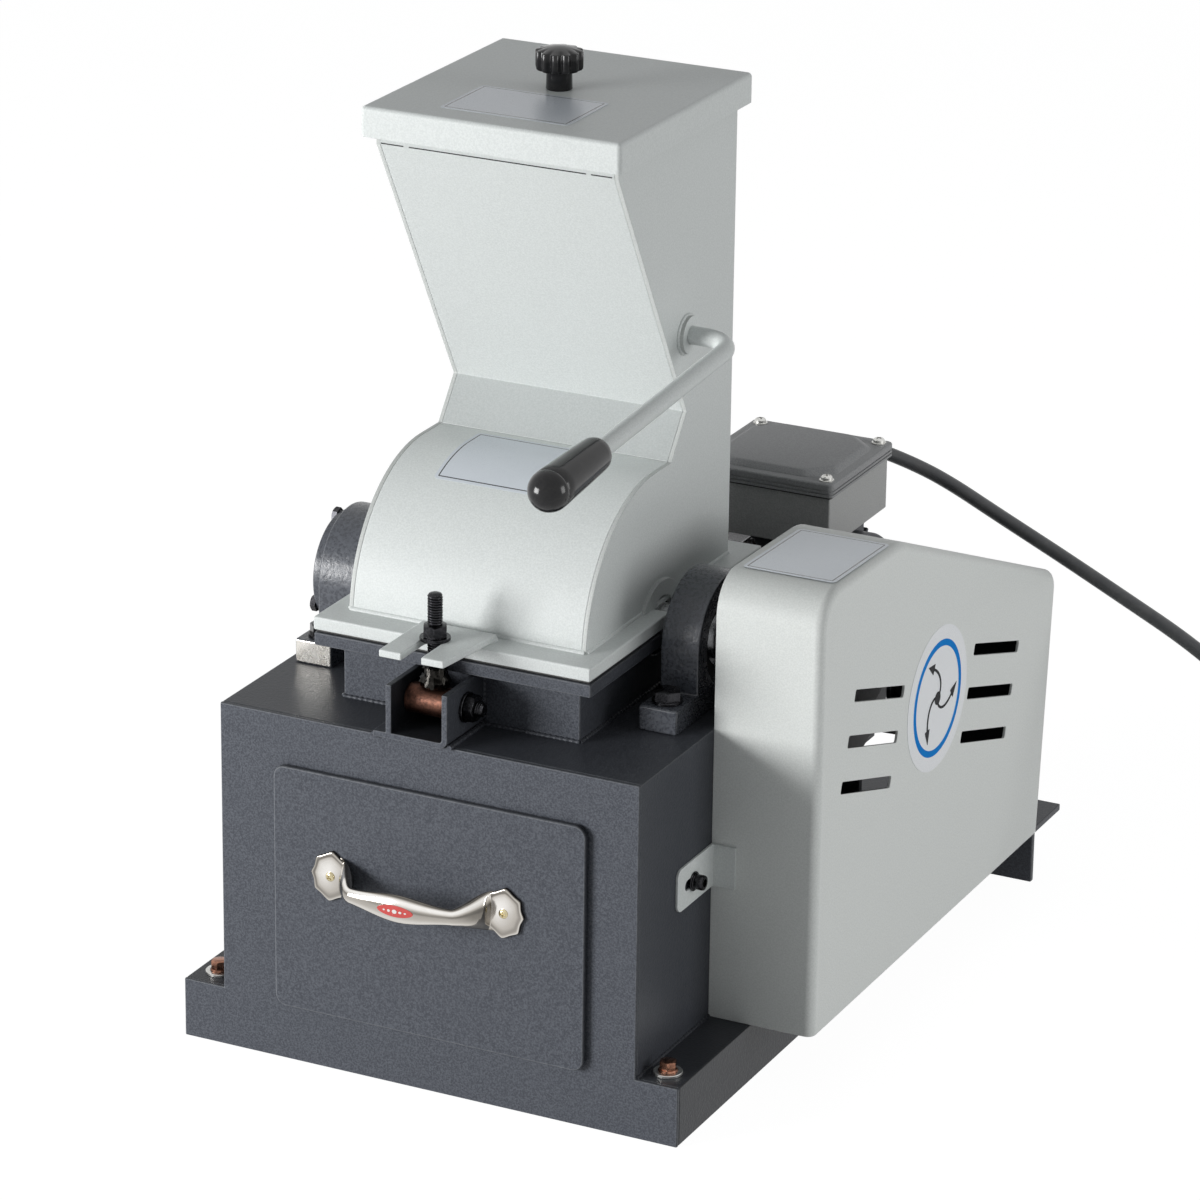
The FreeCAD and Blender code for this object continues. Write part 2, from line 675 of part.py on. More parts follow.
def drawer_handle():
    """Bowed bar between two scalloped plates."""
    shapes = []
    root_y = DRAWER_FACE_Y - ROSETTE_THICKNESS
    for x in handle_screw_places():
        shapes.append(cylinder(at(x, root_y, HANDLE_Z), ROSETTE_THICKNESS, ROSETTE_RADIUS, Y))
        for lobe_x, lobe_z in round_places(ROSETTE_LOBES, ROSETTE_RADIUS, x, HANDLE_Z, 0):
            shapes.append(cylinder(at(lobe_x, root_y, lobe_z), ROSETTE_THICKNESS, ROSETTE_LOBE_RADIUS, Y))
    left, right = handle_screw_places()
    start = at(left + HANDLE_NECK_INSET, root_y, HANDLE_Z)
    end = at(right - HANDLE_NECK_INSET, root_y, HANDLE_Z)
    crown = at(HANDLE_MIDDLE_X, DRAWER_FACE_Y - HANDLE_BOW, HANDLE_Z)
    bow = Part.Arc(start, crown, end).toShape()
    bar = tube(Part.Wire(bow), start, bow.tangentAt(bow.FirstParameter), HANDLE_BAR_RADIUS)
    handle = bar.multiFuse(shapes).removeSplitter()
    for x in handle_screw_places():
        handle = handle.cut(cylinder(at(x, root_y, HANDLE_Z), ROSETTE_THICKNESS, M4_RADIUS, Y))
    behind = block(left - HANDLE_BOW, right + HANDLE_BOW, DRAWER_FACE_Y, 0,
                   HANDLE_Z - HANDLE_BOW, HANDLE_Z + HANDLE_BOW)
    return handle.cut(behind)


def handle_screws():
    seat_y = DRAWER_FACE_Y - ROSETTE_THICKNESS
    length = ROSETTE_THICKNESS + DRAWER_FRONT_THICKNESS
    pieces = []
    for x in handle_screw_places():
        top = at(x, seat_y - HANDLE_SCREW_HEAD, HANDLE_Z)
        head = cylinder(top, HANDLE_SCREW_HEAD, HANDLE_SCREW_RADIUS, Y)
        pieces.append(head.fuse(cylinder(at(x, seat_y, HANDLE_Z), length, M4_RADIUS, Y)))
    return pieces


# Mill housing, gasket and hood
def rail_front_edge():
    return SHAFT_Y - SIEVE_RADIUS - SIEVE_THICKNESS - TOUCH_CLEARANCE


def rail_rear_edge():
    return SHAFT_Y + SIEVE_RADIUS + SIEVE_THICKNESS + TOUCH_CLEARANCE


def lower_housing():
    walls = block(-HALF_HOUSING, HALF_HOUSING, HOUSING_FRONT, HOUSING_REAR, CABINET_TOP, HOUSING_RIM_Z)
    half = HALF_HOUSING + FLANGE_OVERHANG
    flange = block(-half, half, HOUSING_FRONT - FLANGE_OVERHANG, HOUSING_REAR + FLANGE_OVERHANG,
                   HOUSING_RIM_Z - LOWER_FLANGE_THICKNESS, HOUSING_RIM_Z)
    inner = HALF_HOUSING - HOUSING_WALL
    front = HOUSING_FRONT + HOUSING_WALL
    rear = HOUSING_REAR - HOUSING_WALL
    hollow = block(-inner, inner, front, rear, CABINET_TOP - OVERRUN, HOUSING_RIM_Z + OVERRUN)
    housing = walls.fuse(flange).removeSplitter().cut(hollow)
    low = SHAFT_Z - SIEVE_RAIL_HEIGHT
    rails = [block(-inner, inner, front, rail_front_edge(), low, SHAFT_Z),
             block(-inner, inner, rail_rear_edge(), rear, low, SHAFT_Z)]
    housing = housing.multiFuse(rails).removeSplitter()
    return housing.cut(through_shaft_hole(-half - OVERRUN, -inner)).cut(
        through_shaft_hole(inner, half + OVERRUN))


def flange_gasket():
    outer = HALF_HOUSING + FLANGE_OVERHANG - GASKET_INSET
    inner = HALF_HOUSING - HOUSING_WALL
    front = HOUSING_FRONT - FLANGE_OVERHANG + GASKET_INSET
    rear = HOUSING_REAR + FLANGE_OVERHANG - GASKET_INSET
    gasket = block(-outer, outer, front, rear, HOUSING_RIM_Z, GASKET_TOP_Z)
    gasket = gasket.cut(block(-inner, inner, HOUSING_FRONT + HOUSING_WALL, HOUSING_REAR - HOUSING_WALL,
                              HOUSING_RIM_Z - OVERRUN, GASKET_TOP_Z + OVERRUN))
    gasket = gasket.cut(through_shaft_hole(-outer - OVERRUN, outer + OVERRUN))
    return gasket


def hood_flange():
    outer = HALF_HOUSING + FLANGE_OVERHANG
    inner = HALF_HOOD - SHEET
    flange = block(-outer, outer, HOOD_FLANGE_FRONT, HOOD_FLANGE_REAR, GASKET_TOP_Z, HOOD_BASE_Z)
    flange = flange.cut(block(-inner, inner, hood_front_y(HOOD_ARC_RADIUS - SHEET), HOPPER_REAR - SHEET,
                              GASKET_TOP_Z - OVERRUN, HOOD_BASE_Z + OVERRUN))
    return flange.cut(through_shaft_hole(-outer - OVERRUN, outer + OVERRUN))


def hood_front_y(radius):
    """Where the curved front sheet meets the flange."""
    drop = HOOD_ARC_Z - HOOD_BASE_Z
    return HOOD_ARC_Y - math.sqrt(radius ** 2 - drop ** 2)


def hood_arc(radius):
    """The curve of the front sheet, from the flange up to the top of the hood."""
    start = at(0, hood_front_y(radius), HOOD_BASE_Z)
    share = math.pi / 4
    middle = at(0, HOOD_ARC_Y - radius * math.cos(share), HOOD_ARC_Z + radius * math.sin(share))
    return Part.Arc(start, middle, at(0, HOOD_ARC_Y, HOOD_ARC_Z + radius)).toShape()


def line(start, end):
    return Part.LineSegment(start, end).toShape()


def hood_front_sheet():
    inner_radius = HOOD_ARC_RADIUS - SHEET
    top = at(0, HOOD_ARC_Y, HOOD_TOP_Z)
    end = at(0, THROAT_FOOT_Y, HOOD_TOP_Z)
    end_below = end - Z * SHEET
    below = top - Z * SHEET
    foot = at(0, hood_front_y(HOOD_ARC_RADIUS), HOOD_BASE_Z)
    inner_foot = at(0, hood_front_y(inner_radius), HOOD_BASE_Z)
    wire = Part.Wire([hood_arc(HOOD_ARC_RADIUS), line(top, end), line(end, end_below),
                      line(end_below, below), hood_arc(inner_radius), line(inner_foot, foot)])
    inner = HALF_HOOD - SHEET
    return plate_x(wire, -inner, inner)


def side_sheet(side):
    """Side of hood and hopper in one sheet, with the arch round the shaft and the lever's bush."""
    top = at(0, HOOD_ARC_Y, HOOD_TOP_Z)
    points = [top, at(0, THROAT_FOOT_Y, HOOD_TOP_Z), at(0, FOLD_Y, CABINET_TOP + FOLD_HEIGHT),
              at(0, HOPPER_FRONT, CABINET_TOP + HOPPER_BEND_HEIGHT), at(0, HOPPER_FRONT, HOPPER_TOP_Z),
              at(0, HOPPER_REAR, HOPPER_TOP_Z), at(0, HOPPER_REAR, HOOD_BASE_Z),
              at(0, hood_front_y(HOOD_ARC_RADIUS), HOOD_BASE_Z)]
    edges = [hood_arc(HOOD_ARC_RADIUS)]
    edges += [line(points[index], points[index + 1]) for index in range(len(points) - 1)]
    inner_x = side * (HALF_HOOD - SHEET)
    outer_x = side * HALF_HOOD
    sheet = plate_x(Part.Wire(edges), min(inner_x, outer_x), max(inner_x, outer_x))
    arch = cylinder(at(outer_x, SHAFT_Y, SHAFT_Z), BOSS_THICKNESS, BOSS_RADIUS, X * side)
    arch = arch.cut(block(-BASE_WIDTH, BASE_WIDTH, 0, CABINET_DEPTH, 0, HOOD_BASE_Z))
    bush = cylinder(at(outer_x, LEVER_Y, LEVER_Z), BUSH_LENGTH, BUSH_RADIUS, X * side)
    sheet = sheet.multiFuse([arch, bush]).removeSplitter()
    sheet = sheet.cut(through_shaft_hole(-BASE_WIDTH, BASE_WIDTH))
    return sheet.cut(cylinder(at(-BASE_WIDTH, LEVER_Y, LEVER_Z), 2 * BASE_WIDTH, LEVER_HOLE, X))


def hopper_front_sheet():
    points = [at(0, THROAT_FOOT_Y, HOOD_TOP_Z), at(0, FOLD_Y, CABINET_TOP + FOLD_HEIGHT),
              at(0, HOPPER_FRONT, CABINET_TOP + HOPPER_BEND_HEIGHT), at(0, HOPPER_FRONT, HOPPER_TOP_Z)]
    inner = HALF_HOOD - SHEET
    return sheet_x(points, SHEET, -inner, inner)


def hopper_rear_sheet():
    inner = HALF_HOOD - SHEET
    return block(-inner, inner, HOPPER_REAR - SHEET, HOPPER_REAR, HOOD_BASE_Z, HOPPER_TOP_Z)


def hood_hinges():
    """Two hinges with their pins behind the flanges."""
    pieces = []
    pin_y = HOOD_FLANGE_REAR + HINGE_BACKSET
    width = HINGE_KNUCKLE_WIDTH
    for middle in (-HINGE_X, HINGE_X):
        low = block(middle - width / 2, middle + width / 2, HOUSING_REAR + FLANGE_OVERHANG, pin_y,
                    HOUSING_RIM_Z - LOWER_FLANGE_THICKNESS, HOUSING_RIM_Z)
        start = at(middle - width / 2, pin_y, HOUSING_RIM_Z)
        low = low.fuse(cylinder(start, width, HINGE_KNUCKLE_RADIUS, X))
        low = low.cut(cylinder(at(middle - width, pin_y, HOUSING_RIM_Z), 2 * width, HINGE_PIN_HOLE, X))
        pieces.append(low.removeSplitter())
        for side in (-1, 1):
            start = middle + side * (width / 2 + HINGE_SIDE_GAP) - (width if side < 0 else 0)
            ear = block(start, start + width, HOOD_FLANGE_REAR, pin_y, GASKET_TOP_Z, HOOD_BASE_Z)
            ear = ear.fuse(cylinder(at(start, pin_y, HOUSING_RIM_Z), width, HINGE_KNUCKLE_RADIUS, X))
            ear = ear.cut(cylinder(at(start - width, pin_y, HOUSING_RIM_Z), 3 * width, HINGE_PIN_HOLE, X))
            pieces.append(ear.removeSplitter())
        start = middle - 2 * width
        pieces.append(cylinder(at(start, pin_y, HOUSING_RIM_Z), 4 * width, HINGE_PIN_RADIUS, X))
    return pieces


# Lid with its knob
def soften_cap(shape, radius):
    """Rounds the upright edges and those of the top."""
    low = shape.BoundBox.ZMin
    edges = [edge for edge in shape.Edges if edge.BoundBox.ZMax > low + radius]
    return shape.makeFillet(radius, edges)


def hopper_lid():
    half = HALF_LID
    lid = block(-half, half, LID_FRONT, LID_REAR, LID_TOP_Z - LID_SKIRT, LID_TOP_Z)
    hollow = block(THIN_SHEET - half, half - THIN_SHEET, LID_FRONT + THIN_SHEET, LID_REAR - THIN_SHEET,
                   LID_TOP_Z - LID_SKIRT - OVERRUN, LID_TOP_Z - THIN_SHEET)
    return soften_cap(lid, LID_EDGE_ROUND).cut(soften_cap(hollow, LID_EDGE_ROUND - THIN_SHEET))


def lid_knob():
    middle_y = (LID_FRONT + LID_REAR) / 2
    stem = cylinder(at(0, middle_y, LID_TOP_Z), KNOB_STEM_HEIGHT, KNOB_STEM_RADIUS, Z)
    head = cylinder(at(0, middle_y, LID_TOP_Z + KNOB_STEM_HEIGHT), KNOB_HEIGHT, KNOB_RADIUS, Z)
    flutes = []
    for x, y in round_places(KNOB_FLUTES, KNOB_RADIUS + KNOB_FLUTE_RADIUS / 2, 0, middle_y, 0):
        flutes.append(cylinder(at(x, y, LID_TOP_Z), CABINET_TOP, KNOB_FLUTE_RADIUS, Z))
    return stem.fuse(head.cut(Part.makeCompound(flutes)))


# Feed lever, its bushes and the flap
def lever_line():
    """Corner of the lever, the direction of its arm and the middle of the grip's round end."""
    corner = at(LEVER_ARM_X, LEVER_Y, LEVER_Z)
    direction = at(0, -math.cos(LEVER_TILT), -math.sin(LEVER_TILT))
    return corner, direction, corner + direction * (LEVER_REACH - GRIP_RADIUS)


def lever_rod():
    corner, direction, end = lever_line()
    start = at(-HALF_HOOD - BOSS_THICKNESS, LEVER_Y, LEVER_Z)
    arc_start, arc_middle, arc_end = corner_arc(start, corner, end, LEVER_BEND_RADIUS)
    path = Part.Wire([line(start, arc_start), Part.Arc(arc_start, arc_middle, arc_end).toShape(),
                      line(arc_end, end)])
    return tube(path, start, X, LEVER_ROD_RADIUS)


def lever_grip():
    """Tapered grip with a round end, turned in one piece and bored for the rod."""
    corner, direction, ball = lever_line()
    neck = ball - direction * (GRIP_LENGTH - GRIP_RADIUS)
    rim = neck + X * GRIP_NECK_RADIUS
    shoulder = ball + X * GRIP_RADIUS
    tip = ball + direction * GRIP_RADIUS
    quarter = ball + (X + direction).normalize() * GRIP_RADIUS
    outline = Part.Wire([line(neck, rim), line(rim, shoulder), Part.Arc(shoulder, quarter, tip).toShape(),
                         line(tip, neck)])
    grip = Part.Face(outline).revolve(neck, direction, 360)
    return grip.cut(cylinder(ball - direction * GRIP_LENGTH, GRIP_LENGTH, LEVER_ROD_RADIUS, direction))


def feed_flap():
    """Plate across the hopper with a sleeve on the lever's rod."""
    half = HALF_HOOD - SHEET - FLAP_SIDE_GAP
    plate = block(-half, half, LEVER_Y - FLAP_FRONT, LEVER_Y + FLAP_REAR,
                  LEVER_Z - SHEET / 2, LEVER_Z + SHEET / 2)
    sleeve = cylinder(at(-half, LEVER_Y, LEVER_Z), 2 * half, FLAP_SLEEVE_RADIUS, X)
    return plate.fuse(sleeve).cut(cylinder(at(-half, LEVER_Y, LEVER_Z), 2 * half, LEVER_ROD_RADIUS, X))


# Clamp
def clamp_channel():
    left = CLAMP_X - CHANNEL_WIDTH / 2
    right = CLAMP_X + CHANNEL_WIDTH / 2
    top = CABINET_TOP + CHANNEL_HEIGHT
    floor_z = CABINET_TOP + CHANNEL_WALL
    points = [at(left - CHANNEL_TOE, CHANNEL_FRONT, CABINET_TOP), at(right, CHANNEL_FRONT, CABINET_TOP),
              at(right, CHANNEL_FRONT, top), at(right - CHANNEL_WALL, CHANNEL_FRONT, top),
              at(right - CHANNEL_WALL, CHANNEL_FRONT, floor_z),
              at(left + CHANNEL_WALL, CHANNEL_FRONT, floor_z), at(left + CHANNEL_WALL, CHANNEL_FRONT, top),
              at(left, CHANNEL_FRONT, top), at(left, CHANNEL_FRONT, floor_z),
              at(left - CHANNEL_TOE, CHANNEL_FRONT, floor_z)]
    radii = [0, CHANNEL_CORNER, 0, 0, CHANNEL_CORNER - CHANNEL_WALL, 0, 0, 0, 0, 0]
    channel = Part.Face(rounded_wire(points, radii)).extrude(Y * (HOUSING_FRONT - CHANNEL_FRONT))
    hole = cylinder(at(left - OVERRUN, CLAMP_Y, CLAMP_PIVOT_Z), CHANNEL_WIDTH + 2 * OVERRUN, M10_RADIUS, X)
    return channel.cut(hole)


def clevis_bolt_set():
    """Cross bolt with its head on the left, washers, and the nut on the right."""
    left = CLAMP_X - CHANNEL_WIDTH / 2
    right = CLAMP_X + CHANNEL_WIDTH / 2
    end = right + WASHER_HEIGHT + M10_HEAD + CLEVIS_BOLT_REST
    head_x = left - WASHER_HEIGHT
    bolt = hexagon(at(head_x - M10_HEAD, CLAMP_Y, CLAMP_PIVOT_Z), M10_HEAD, M10_FLATS, X)
    bolt = bolt.fuse(cylinder(at(head_x, CLAMP_Y, CLAMP_PIVOT_Z), end - head_x, M10_RADIUS, X))
    nut_x = right + WASHER_HEIGHT
    nut = hexagon(at(nut_x, CLAMP_Y, CLAMP_PIVOT_Z), M10_HEAD, M10_FLATS, X)
    nut = nut.cut(cylinder(at(nut_x, CLAMP_Y, CLAMP_PIVOT_Z), M10_HEAD, M10_RADIUS, X))
    discs = [washer(at(x, CLAMP_Y, CLAMP_PIVOT_Z), WASHER_HEIGHT, M10_WASHER_RADIUS, M10_RADIUS, X)
             for x in (head_x, right)]
    return [bolt, nut] + discs


def swing_eye():
    half = CHANNEL_WIDTH / 2 - CHANNEL_WALL - EYE_GAP
    return ring(at(CLAMP_X - half, CLAMP_Y, CLAMP_PIVOT_Z), 2 * half, EYE_RADIUS,
                M10_RADIUS + RUNNING_CLEARANCE, X)


def swing_stud():
    """Threaded stud on the eye, and the thick collar under the lug."""
    half = CHANNEL_WIDTH / 2
    height = CABINET_TOP + STUD_TOP - CLAMP_PIVOT_Z
    stud = cylinder(at(CLAMP_X, CLAMP_Y, CLAMP_PIVOT_Z), height, STUD_RADIUS, Z)
    stud = stud.cut(cylinder(at(CLAMP_X - half, CLAMP_Y, CLAMP_PIVOT_Z), 2 * half, EYE_RADIUS, X))
    collar = ring(at(CLAMP_X, CLAMP_Y, CABINET_TOP + COLLAR_BOTTOM), COLLAR_HEIGHT, COLLAR_RADIUS,
                  STUD_RADIUS, Z)
    return [stud, collar]


def clamp_nut():
    washer_top = LUG_TOP_Z + CLAMP_WASHER_HEIGHT
    bore = STUD_RADIUS + RUNNING_CLEARANCE
    disc = washer(at(CLAMP_X, CLAMP_Y, LUG_TOP_Z), CLAMP_WASHER_HEIGHT, CLAMP_WASHER_RADIUS, bore, Z)
    nut = hexagon(at(CLAMP_X, CLAMP_Y, washer_top), CLAMP_NUT_HEIGHT, M10_FLATS, Z)
    nut = nut.cut(cylinder(at(CLAMP_X, CLAMP_Y, washer_top), CLAMP_NUT_HEIGHT, bore, Z))
    return [disc, nut]


def fork_lug():
    """Flat plate on the flange with a slot that is open to the front."""
    left = CLAMP_X - LUG_HALF_WIDTH
    right = CLAMP_X + LUG_HALF_WIDTH
    points = [at(left, LUG_FRONT, HOOD_BASE_Z), at(right, LUG_FRONT, HOOD_BASE_Z),
              at(right + LUG_FLARE, LUG_REAR, HOOD_BASE_Z), at(left, LUG_REAR, HOOD_BASE_Z)]
    plate = Part.Face(Part.makePolygon(points + points[:1])).extrude(Z * LUG_THICKNESS)
    slot_end = CLAMP_Y + STUD_RADIUS + TOUCH_CLEARANCE - LUG_SLOT_HALF_WIDTH
    slot = block(CLAMP_X - LUG_SLOT_HALF_WIDTH, CLAMP_X + LUG_SLOT_HALF_WIDTH, LUG_FRONT - OVERRUN, slot_end,
                 HOOD_BASE_Z - OVERRUN, LUG_TOP_Z + OVERRUN)
    end = cylinder(at(CLAMP_X, slot_end, HOOD_BASE_Z - OVERRUN), LUG_THICKNESS + 2 * OVERRUN,
                   LUG_SLOT_HALF_WIDTH, Z)
    return plate.cut(slot.fuse(end))


# Rotor
def mill_shaft():
    wide = cylinder(at(SHAFT_LEFT, SHAFT_Y, SHAFT_Z), SHAFT_STEP_X - SHAFT_LEFT, SHAFT_RADIUS, X)
    step = at(SHAFT_STEP_X, SHAFT_Y, SHAFT_Z)
    return wide.fuse(cylinder(step, SHAFT_RIGHT - SHAFT_STEP_X, PULLEY_SEAT_RADIUS, X))


def disc_starts():
    first = -DISC_PITCH * (DISC_COUNT - 1) / 2 - DISC_THICKNESS / 2
    return [first + DISC_PITCH * index for index in range(DISC_COUNT)]


def pin_places():
    return [(SHAFT_Y + PIN_CIRCLE * math.cos(math.radians(angle)),
             SHAFT_Z + PIN_CIRCLE * math.sin(math.radians(angle))) for angle in PIN_ANGLES]


def rotor_discs():
    """Discs and spacers on the shaft, and the pins that carry the hammers."""
    starts = disc_starts()
    end = starts[-1] + DISC_THICKNESS
    pieces = []
    for start in starts:
        disc = ring(at(start, SHAFT_Y, SHAFT_Z), DISC_THICKNESS, DISC_RADIUS, SHAFT_RADIUS, X)
        for y, z in pin_places():
            disc = disc.cut(cylinder(at(start, y, z), DISC_THICKNESS, PIN_RADIUS, X))
        pieces.append(disc)
    for start in starts[:-1]:
        pieces.append(ring(at(start + DISC_THICKNESS, SHAFT_Y, SHAFT_Z), DISC_PITCH - DISC_THICKNESS,
                           SPACER_RADIUS, SHAFT_RADIUS, X))
    for y, z in pin_places():
        pieces.append(cylinder(at(starts[0], y, z), end - starts[0], PIN_RADIUS, X))
    return pieces


def hammer_row(y, z):
    """The hammers on one pin, hanging straight down."""
    pieces = []
    for start in disc_starts()[:-1]:
        middle = start + (DISC_THICKNESS + DISC_PITCH) / 2
        x0 = middle - HAMMER_THICKNESS / 2
        half = HAMMER_WIDTH / 2
        plate = block(x0, x0 + HAMMER_THICKNESS, y - half, y + half, z - HAMMER_LENGTH, z)
        plate = plate.fuse(cylinder(at(x0, y, z), HAMMER_THICKNESS, half, X)).removeSplitter()
        pieces.append(plate.cut(cylinder(at(x0, y, z), HAMMER_THICKNESS, PIN_RADIUS + TOUCH_CLEARANCE, X)))
    return pieces


def sieve_screen():
    half = HALF_HOUSING - HOUSING_WALL - TRAY_CLEARANCE
    outer = SIEVE_RADIUS + SIEVE_THICKNESS
    screen = ring(at(-half, SHAFT_Y, SHAFT_Z), 2 * half, outer, SIEVE_RADIUS, X)
    screen = screen.cut(block(-CABINET_WIDTH, CABINET_WIDTH, 0, CABINET_DEPTH, SHAFT_Z, LID_TOP_Z))
    slots = []
    pitch = 2 * half / (SIEVE_SLOTS_ALONG + 1)
    length = pitch - SIEVE_BAR
    for step in range(SIEVE_SLOTS_ROUND):
        angle = math.radians(180.0 + 180.0 * (step + 1) / (SIEVE_SLOTS_ROUND + 1))
        outward = at(0, math.cos(angle), math.sin(angle))
        along = at(0, -math.sin(angle), math.cos(angle))
        for index in range(SIEVE_SLOTS_ALONG):
            middle = at(-half + pitch * (index + 1), SHAFT_Y, SHAFT_Z) + outward * (SIEVE_RADIUS - OVERRUN)
            corner = middle - X * (length / 2) - along * (SIEVE_SLOT_WIDTH / 2)
            face = Part.Face(Part.makePolygon([corner, corner + X * length,
                                               corner + X * length + along * SIEVE_SLOT_WIDTH,
                                               corner + along * SIEVE_SLOT_WIDTH, corner]))
            slots.append(face.extrude(outward * (2 * OVERRUN + SIEVE_THICKNESS)))
    screen = screen.cut(Part.makeCompound(slots))
    lips = []
    for y0, y1 in ((SHAFT_Y - outer - SIEVE_LIP, SHAFT_Y - SIEVE_RADIUS),
                   (SHAFT_Y + SIEVE_RADIUS, SHAFT_Y + outer + SIEVE_LIP)):
        lips.append(block(-half, half, y0, y1, SHAFT_Z, SHAFT_Z + SIEVE_THICKNESS))
    return screen.multiFuse(lips).removeSplitter()


# Shaft bearings
def bearing_housing(x0):
    x1 = x0 + BEARING_HOUSING_WIDTH
    arch = cylinder(at(x0, SHAFT_Y, SHAFT_Z), BEARING_HOUSING_WIDTH, ARCH_RADIUS, X)
    post = block(x0, x1, SHAFT_Y - ARCH_RADIUS, SHAFT_Y + ARCH_RADIUS, CABINET_TOP, SHAFT_Z)
    foot = block(x0, x1, SHAFT_Y - FOOT_LENGTH / 2, SHAFT_Y + FOOT_LENGTH / 2, CABINET_TOP, FOOT_TOP_Z)
    under = block(x0 - OVERRUN, x1 + OVERRUN, 0, CABINET_DEPTH, 0, CABINET_TOP)
    housing = arch.multiFuse([post, foot]).removeSplitter().cut(under)
    housing = housing.cut(cylinder(at(x0, SHAFT_Y, SHAFT_Z), BEARING_HOUSING_WIDTH, BEARING_RADIUS, X))
    for x, y in foot_bolt_places(x0):
        housing = housing.cut(cylinder(at(x, y, CABINET_TOP), FOOT_HEIGHT, M10_RADIUS, Z))
    if x0 < 0:
        for y, z in cover_bolt_places():
            housing = housing.cut(cylinder(at(x0, y, z), BEARING_HOUSING_WIDTH / 2, M6_RADIUS, X))
    return housing


def foot_bolt_places(x0):
    reach = FOOT_LENGTH / 2 - FOOT_BOLT_INSET
    return [(x0 + BEARING_HOUSING_WIDTH / 2, SHAFT_Y + side * reach) for side in (-1, 1)]


def motor_bolt_places():
    return [(side_x * MOTOR_BOLT_X, MOTOR_Y + side_y * MOTOR_BOLT_Y)
            for side_x in (-1, 1) for side_y in (-1, 1)]


def foot_bolts():
    """Hexagon bolts of the bearing feet and the motor feet, each on a washer."""
    pieces = []
    for x0 in (LEFT_HOUSING_X, RIGHT_HOUSING_X):
        for x, y in foot_bolt_places(x0):
            pieces += bolt_down(x, y, FOOT_TOP_Z, WASHER_HEIGHT + FOOT_HEIGHT, M10_RADIUS, M10_FLATS,
                                M10_HEAD, M10_WASHER_RADIUS)
    seat = MOTOR_FOOT_Z + MOTOR_FOOT_THICKNESS
    for x, y in motor_bolt_places():
        pieces += bolt_down(x, y, seat, WASHER_HEIGHT + MOTOR_FOOT_THICKNESS + STAND_PLATE, M10_RADIUS,
                            M10_FLATS, M10_HEAD, M10_WASHER_RADIUS)
    return pieces


def bearings():
    inner = SHAFT_RADIUS + RUNNING_CLEARANCE
    pieces = []
    for x0 in (LEFT_HOUSING_X, RIGHT_HOUSING_X):
        start = x0 + (BEARING_HOUSING_WIDTH - BEARING_WIDTH) / 2
        pieces.append(ring(at(start, SHAFT_Y, SHAFT_Z), BEARING_WIDTH, BEARING_RADIUS, inner, X))
    return pieces


def cover_bolt_places():
    return round_places(COVER_BOLTS, COVER_BOLT_CIRCLE, SHAFT_Y, SHAFT_Z, COVER_FIRST_ANGLE)


def bearing_cover():
    outer = LEFT_HOUSING_X - COVER_THICKNESS
    cover = cylinder(at(outer, SHAFT_Y, SHAFT_Z), COVER_THICKNESS, COVER_RADIUS, X)
    for y, z in cover_bolt_places():
        cover = cover.cut(cylinder(at(outer, y, z), COVER_THICKNESS, M6_RADIUS, X))
    return cover


def cover_bolts():
    pieces = []
    outer = LEFT_HOUSING_X - COVER_THICKNESS
    for y, z in cover_bolt_places():
        bolt = hexagon(at(outer - M6_HEAD, y, z), M6_HEAD, M6_FLATS, X)
        length = COVER_THICKNESS + BEARING_HOUSING_WIDTH / 2
        pieces.append(bolt.fuse(cylinder(at(outer, y, z), length, M6_RADIUS, X)))
    return pieces


# Belt drive
def pulley(y, z, radius, bore):
    start = BELT_X - PULLEY_WIDTH / 2
    wheel = ring(at(start, y, z), PULLEY_WIDTH, radius, bore, X)
    groove_width = BELT_WIDTH + 2 * TOUCH_CLEARANCE
    bottom = radius + BELT_PROUD - BELT_THICKNESS - TOUCH_CLEARANCE
    groove = ring(at(BELT_X - groove_width / 2, y, z), groove_width, radius + OVERRUN, bottom, X)
    return wheel.cut(groove)


def belt_outline(reach):
    """The loop round both pulleys, standing out from their rims by reach."""
    mill = at(0, SHAFT_Y, SHAFT_Z)
    motor = at(0, MOTOR_Y, MOTOR_Z)
    mill_radius = MILL_PULLEY_RADIUS + reach
    motor_radius = MOTOR_PULLEY_RADIUS + reach
    along = motor - mill
    angle = math.acos((mill_radius - motor_radius) / along.Length)
    along.normalize()
    across = X.cross(along)
    upper = along * math.cos(angle) + across * math.sin(angle)
    lower = along * math.cos(angle) - across * math.sin(angle)
    return Part.Wire([
        line(mill + upper * mill_radius, motor + upper * motor_radius),
        Part.Arc(motor + upper * motor_radius, motor + along * motor_radius,
                 motor + lower * motor_radius).toShape(),
        line(motor + lower * motor_radius, mill + lower * mill_radius),
        Part.Arc(mill + lower * mill_radius, mill - along * mill_radius,
                 mill + upper * mill_radius).toShape()])


def v_belt():
    start = BELT_X - BELT_WIDTH / 2
    outer = plate_x(belt_outline(BELT_PROUD), start, start + BELT_WIDTH)
    inner = plate_x(belt_outline(BELT_PROUD - BELT_THICKNESS), start, start + BELT_WIDTH)
    return outer.cut(inner)


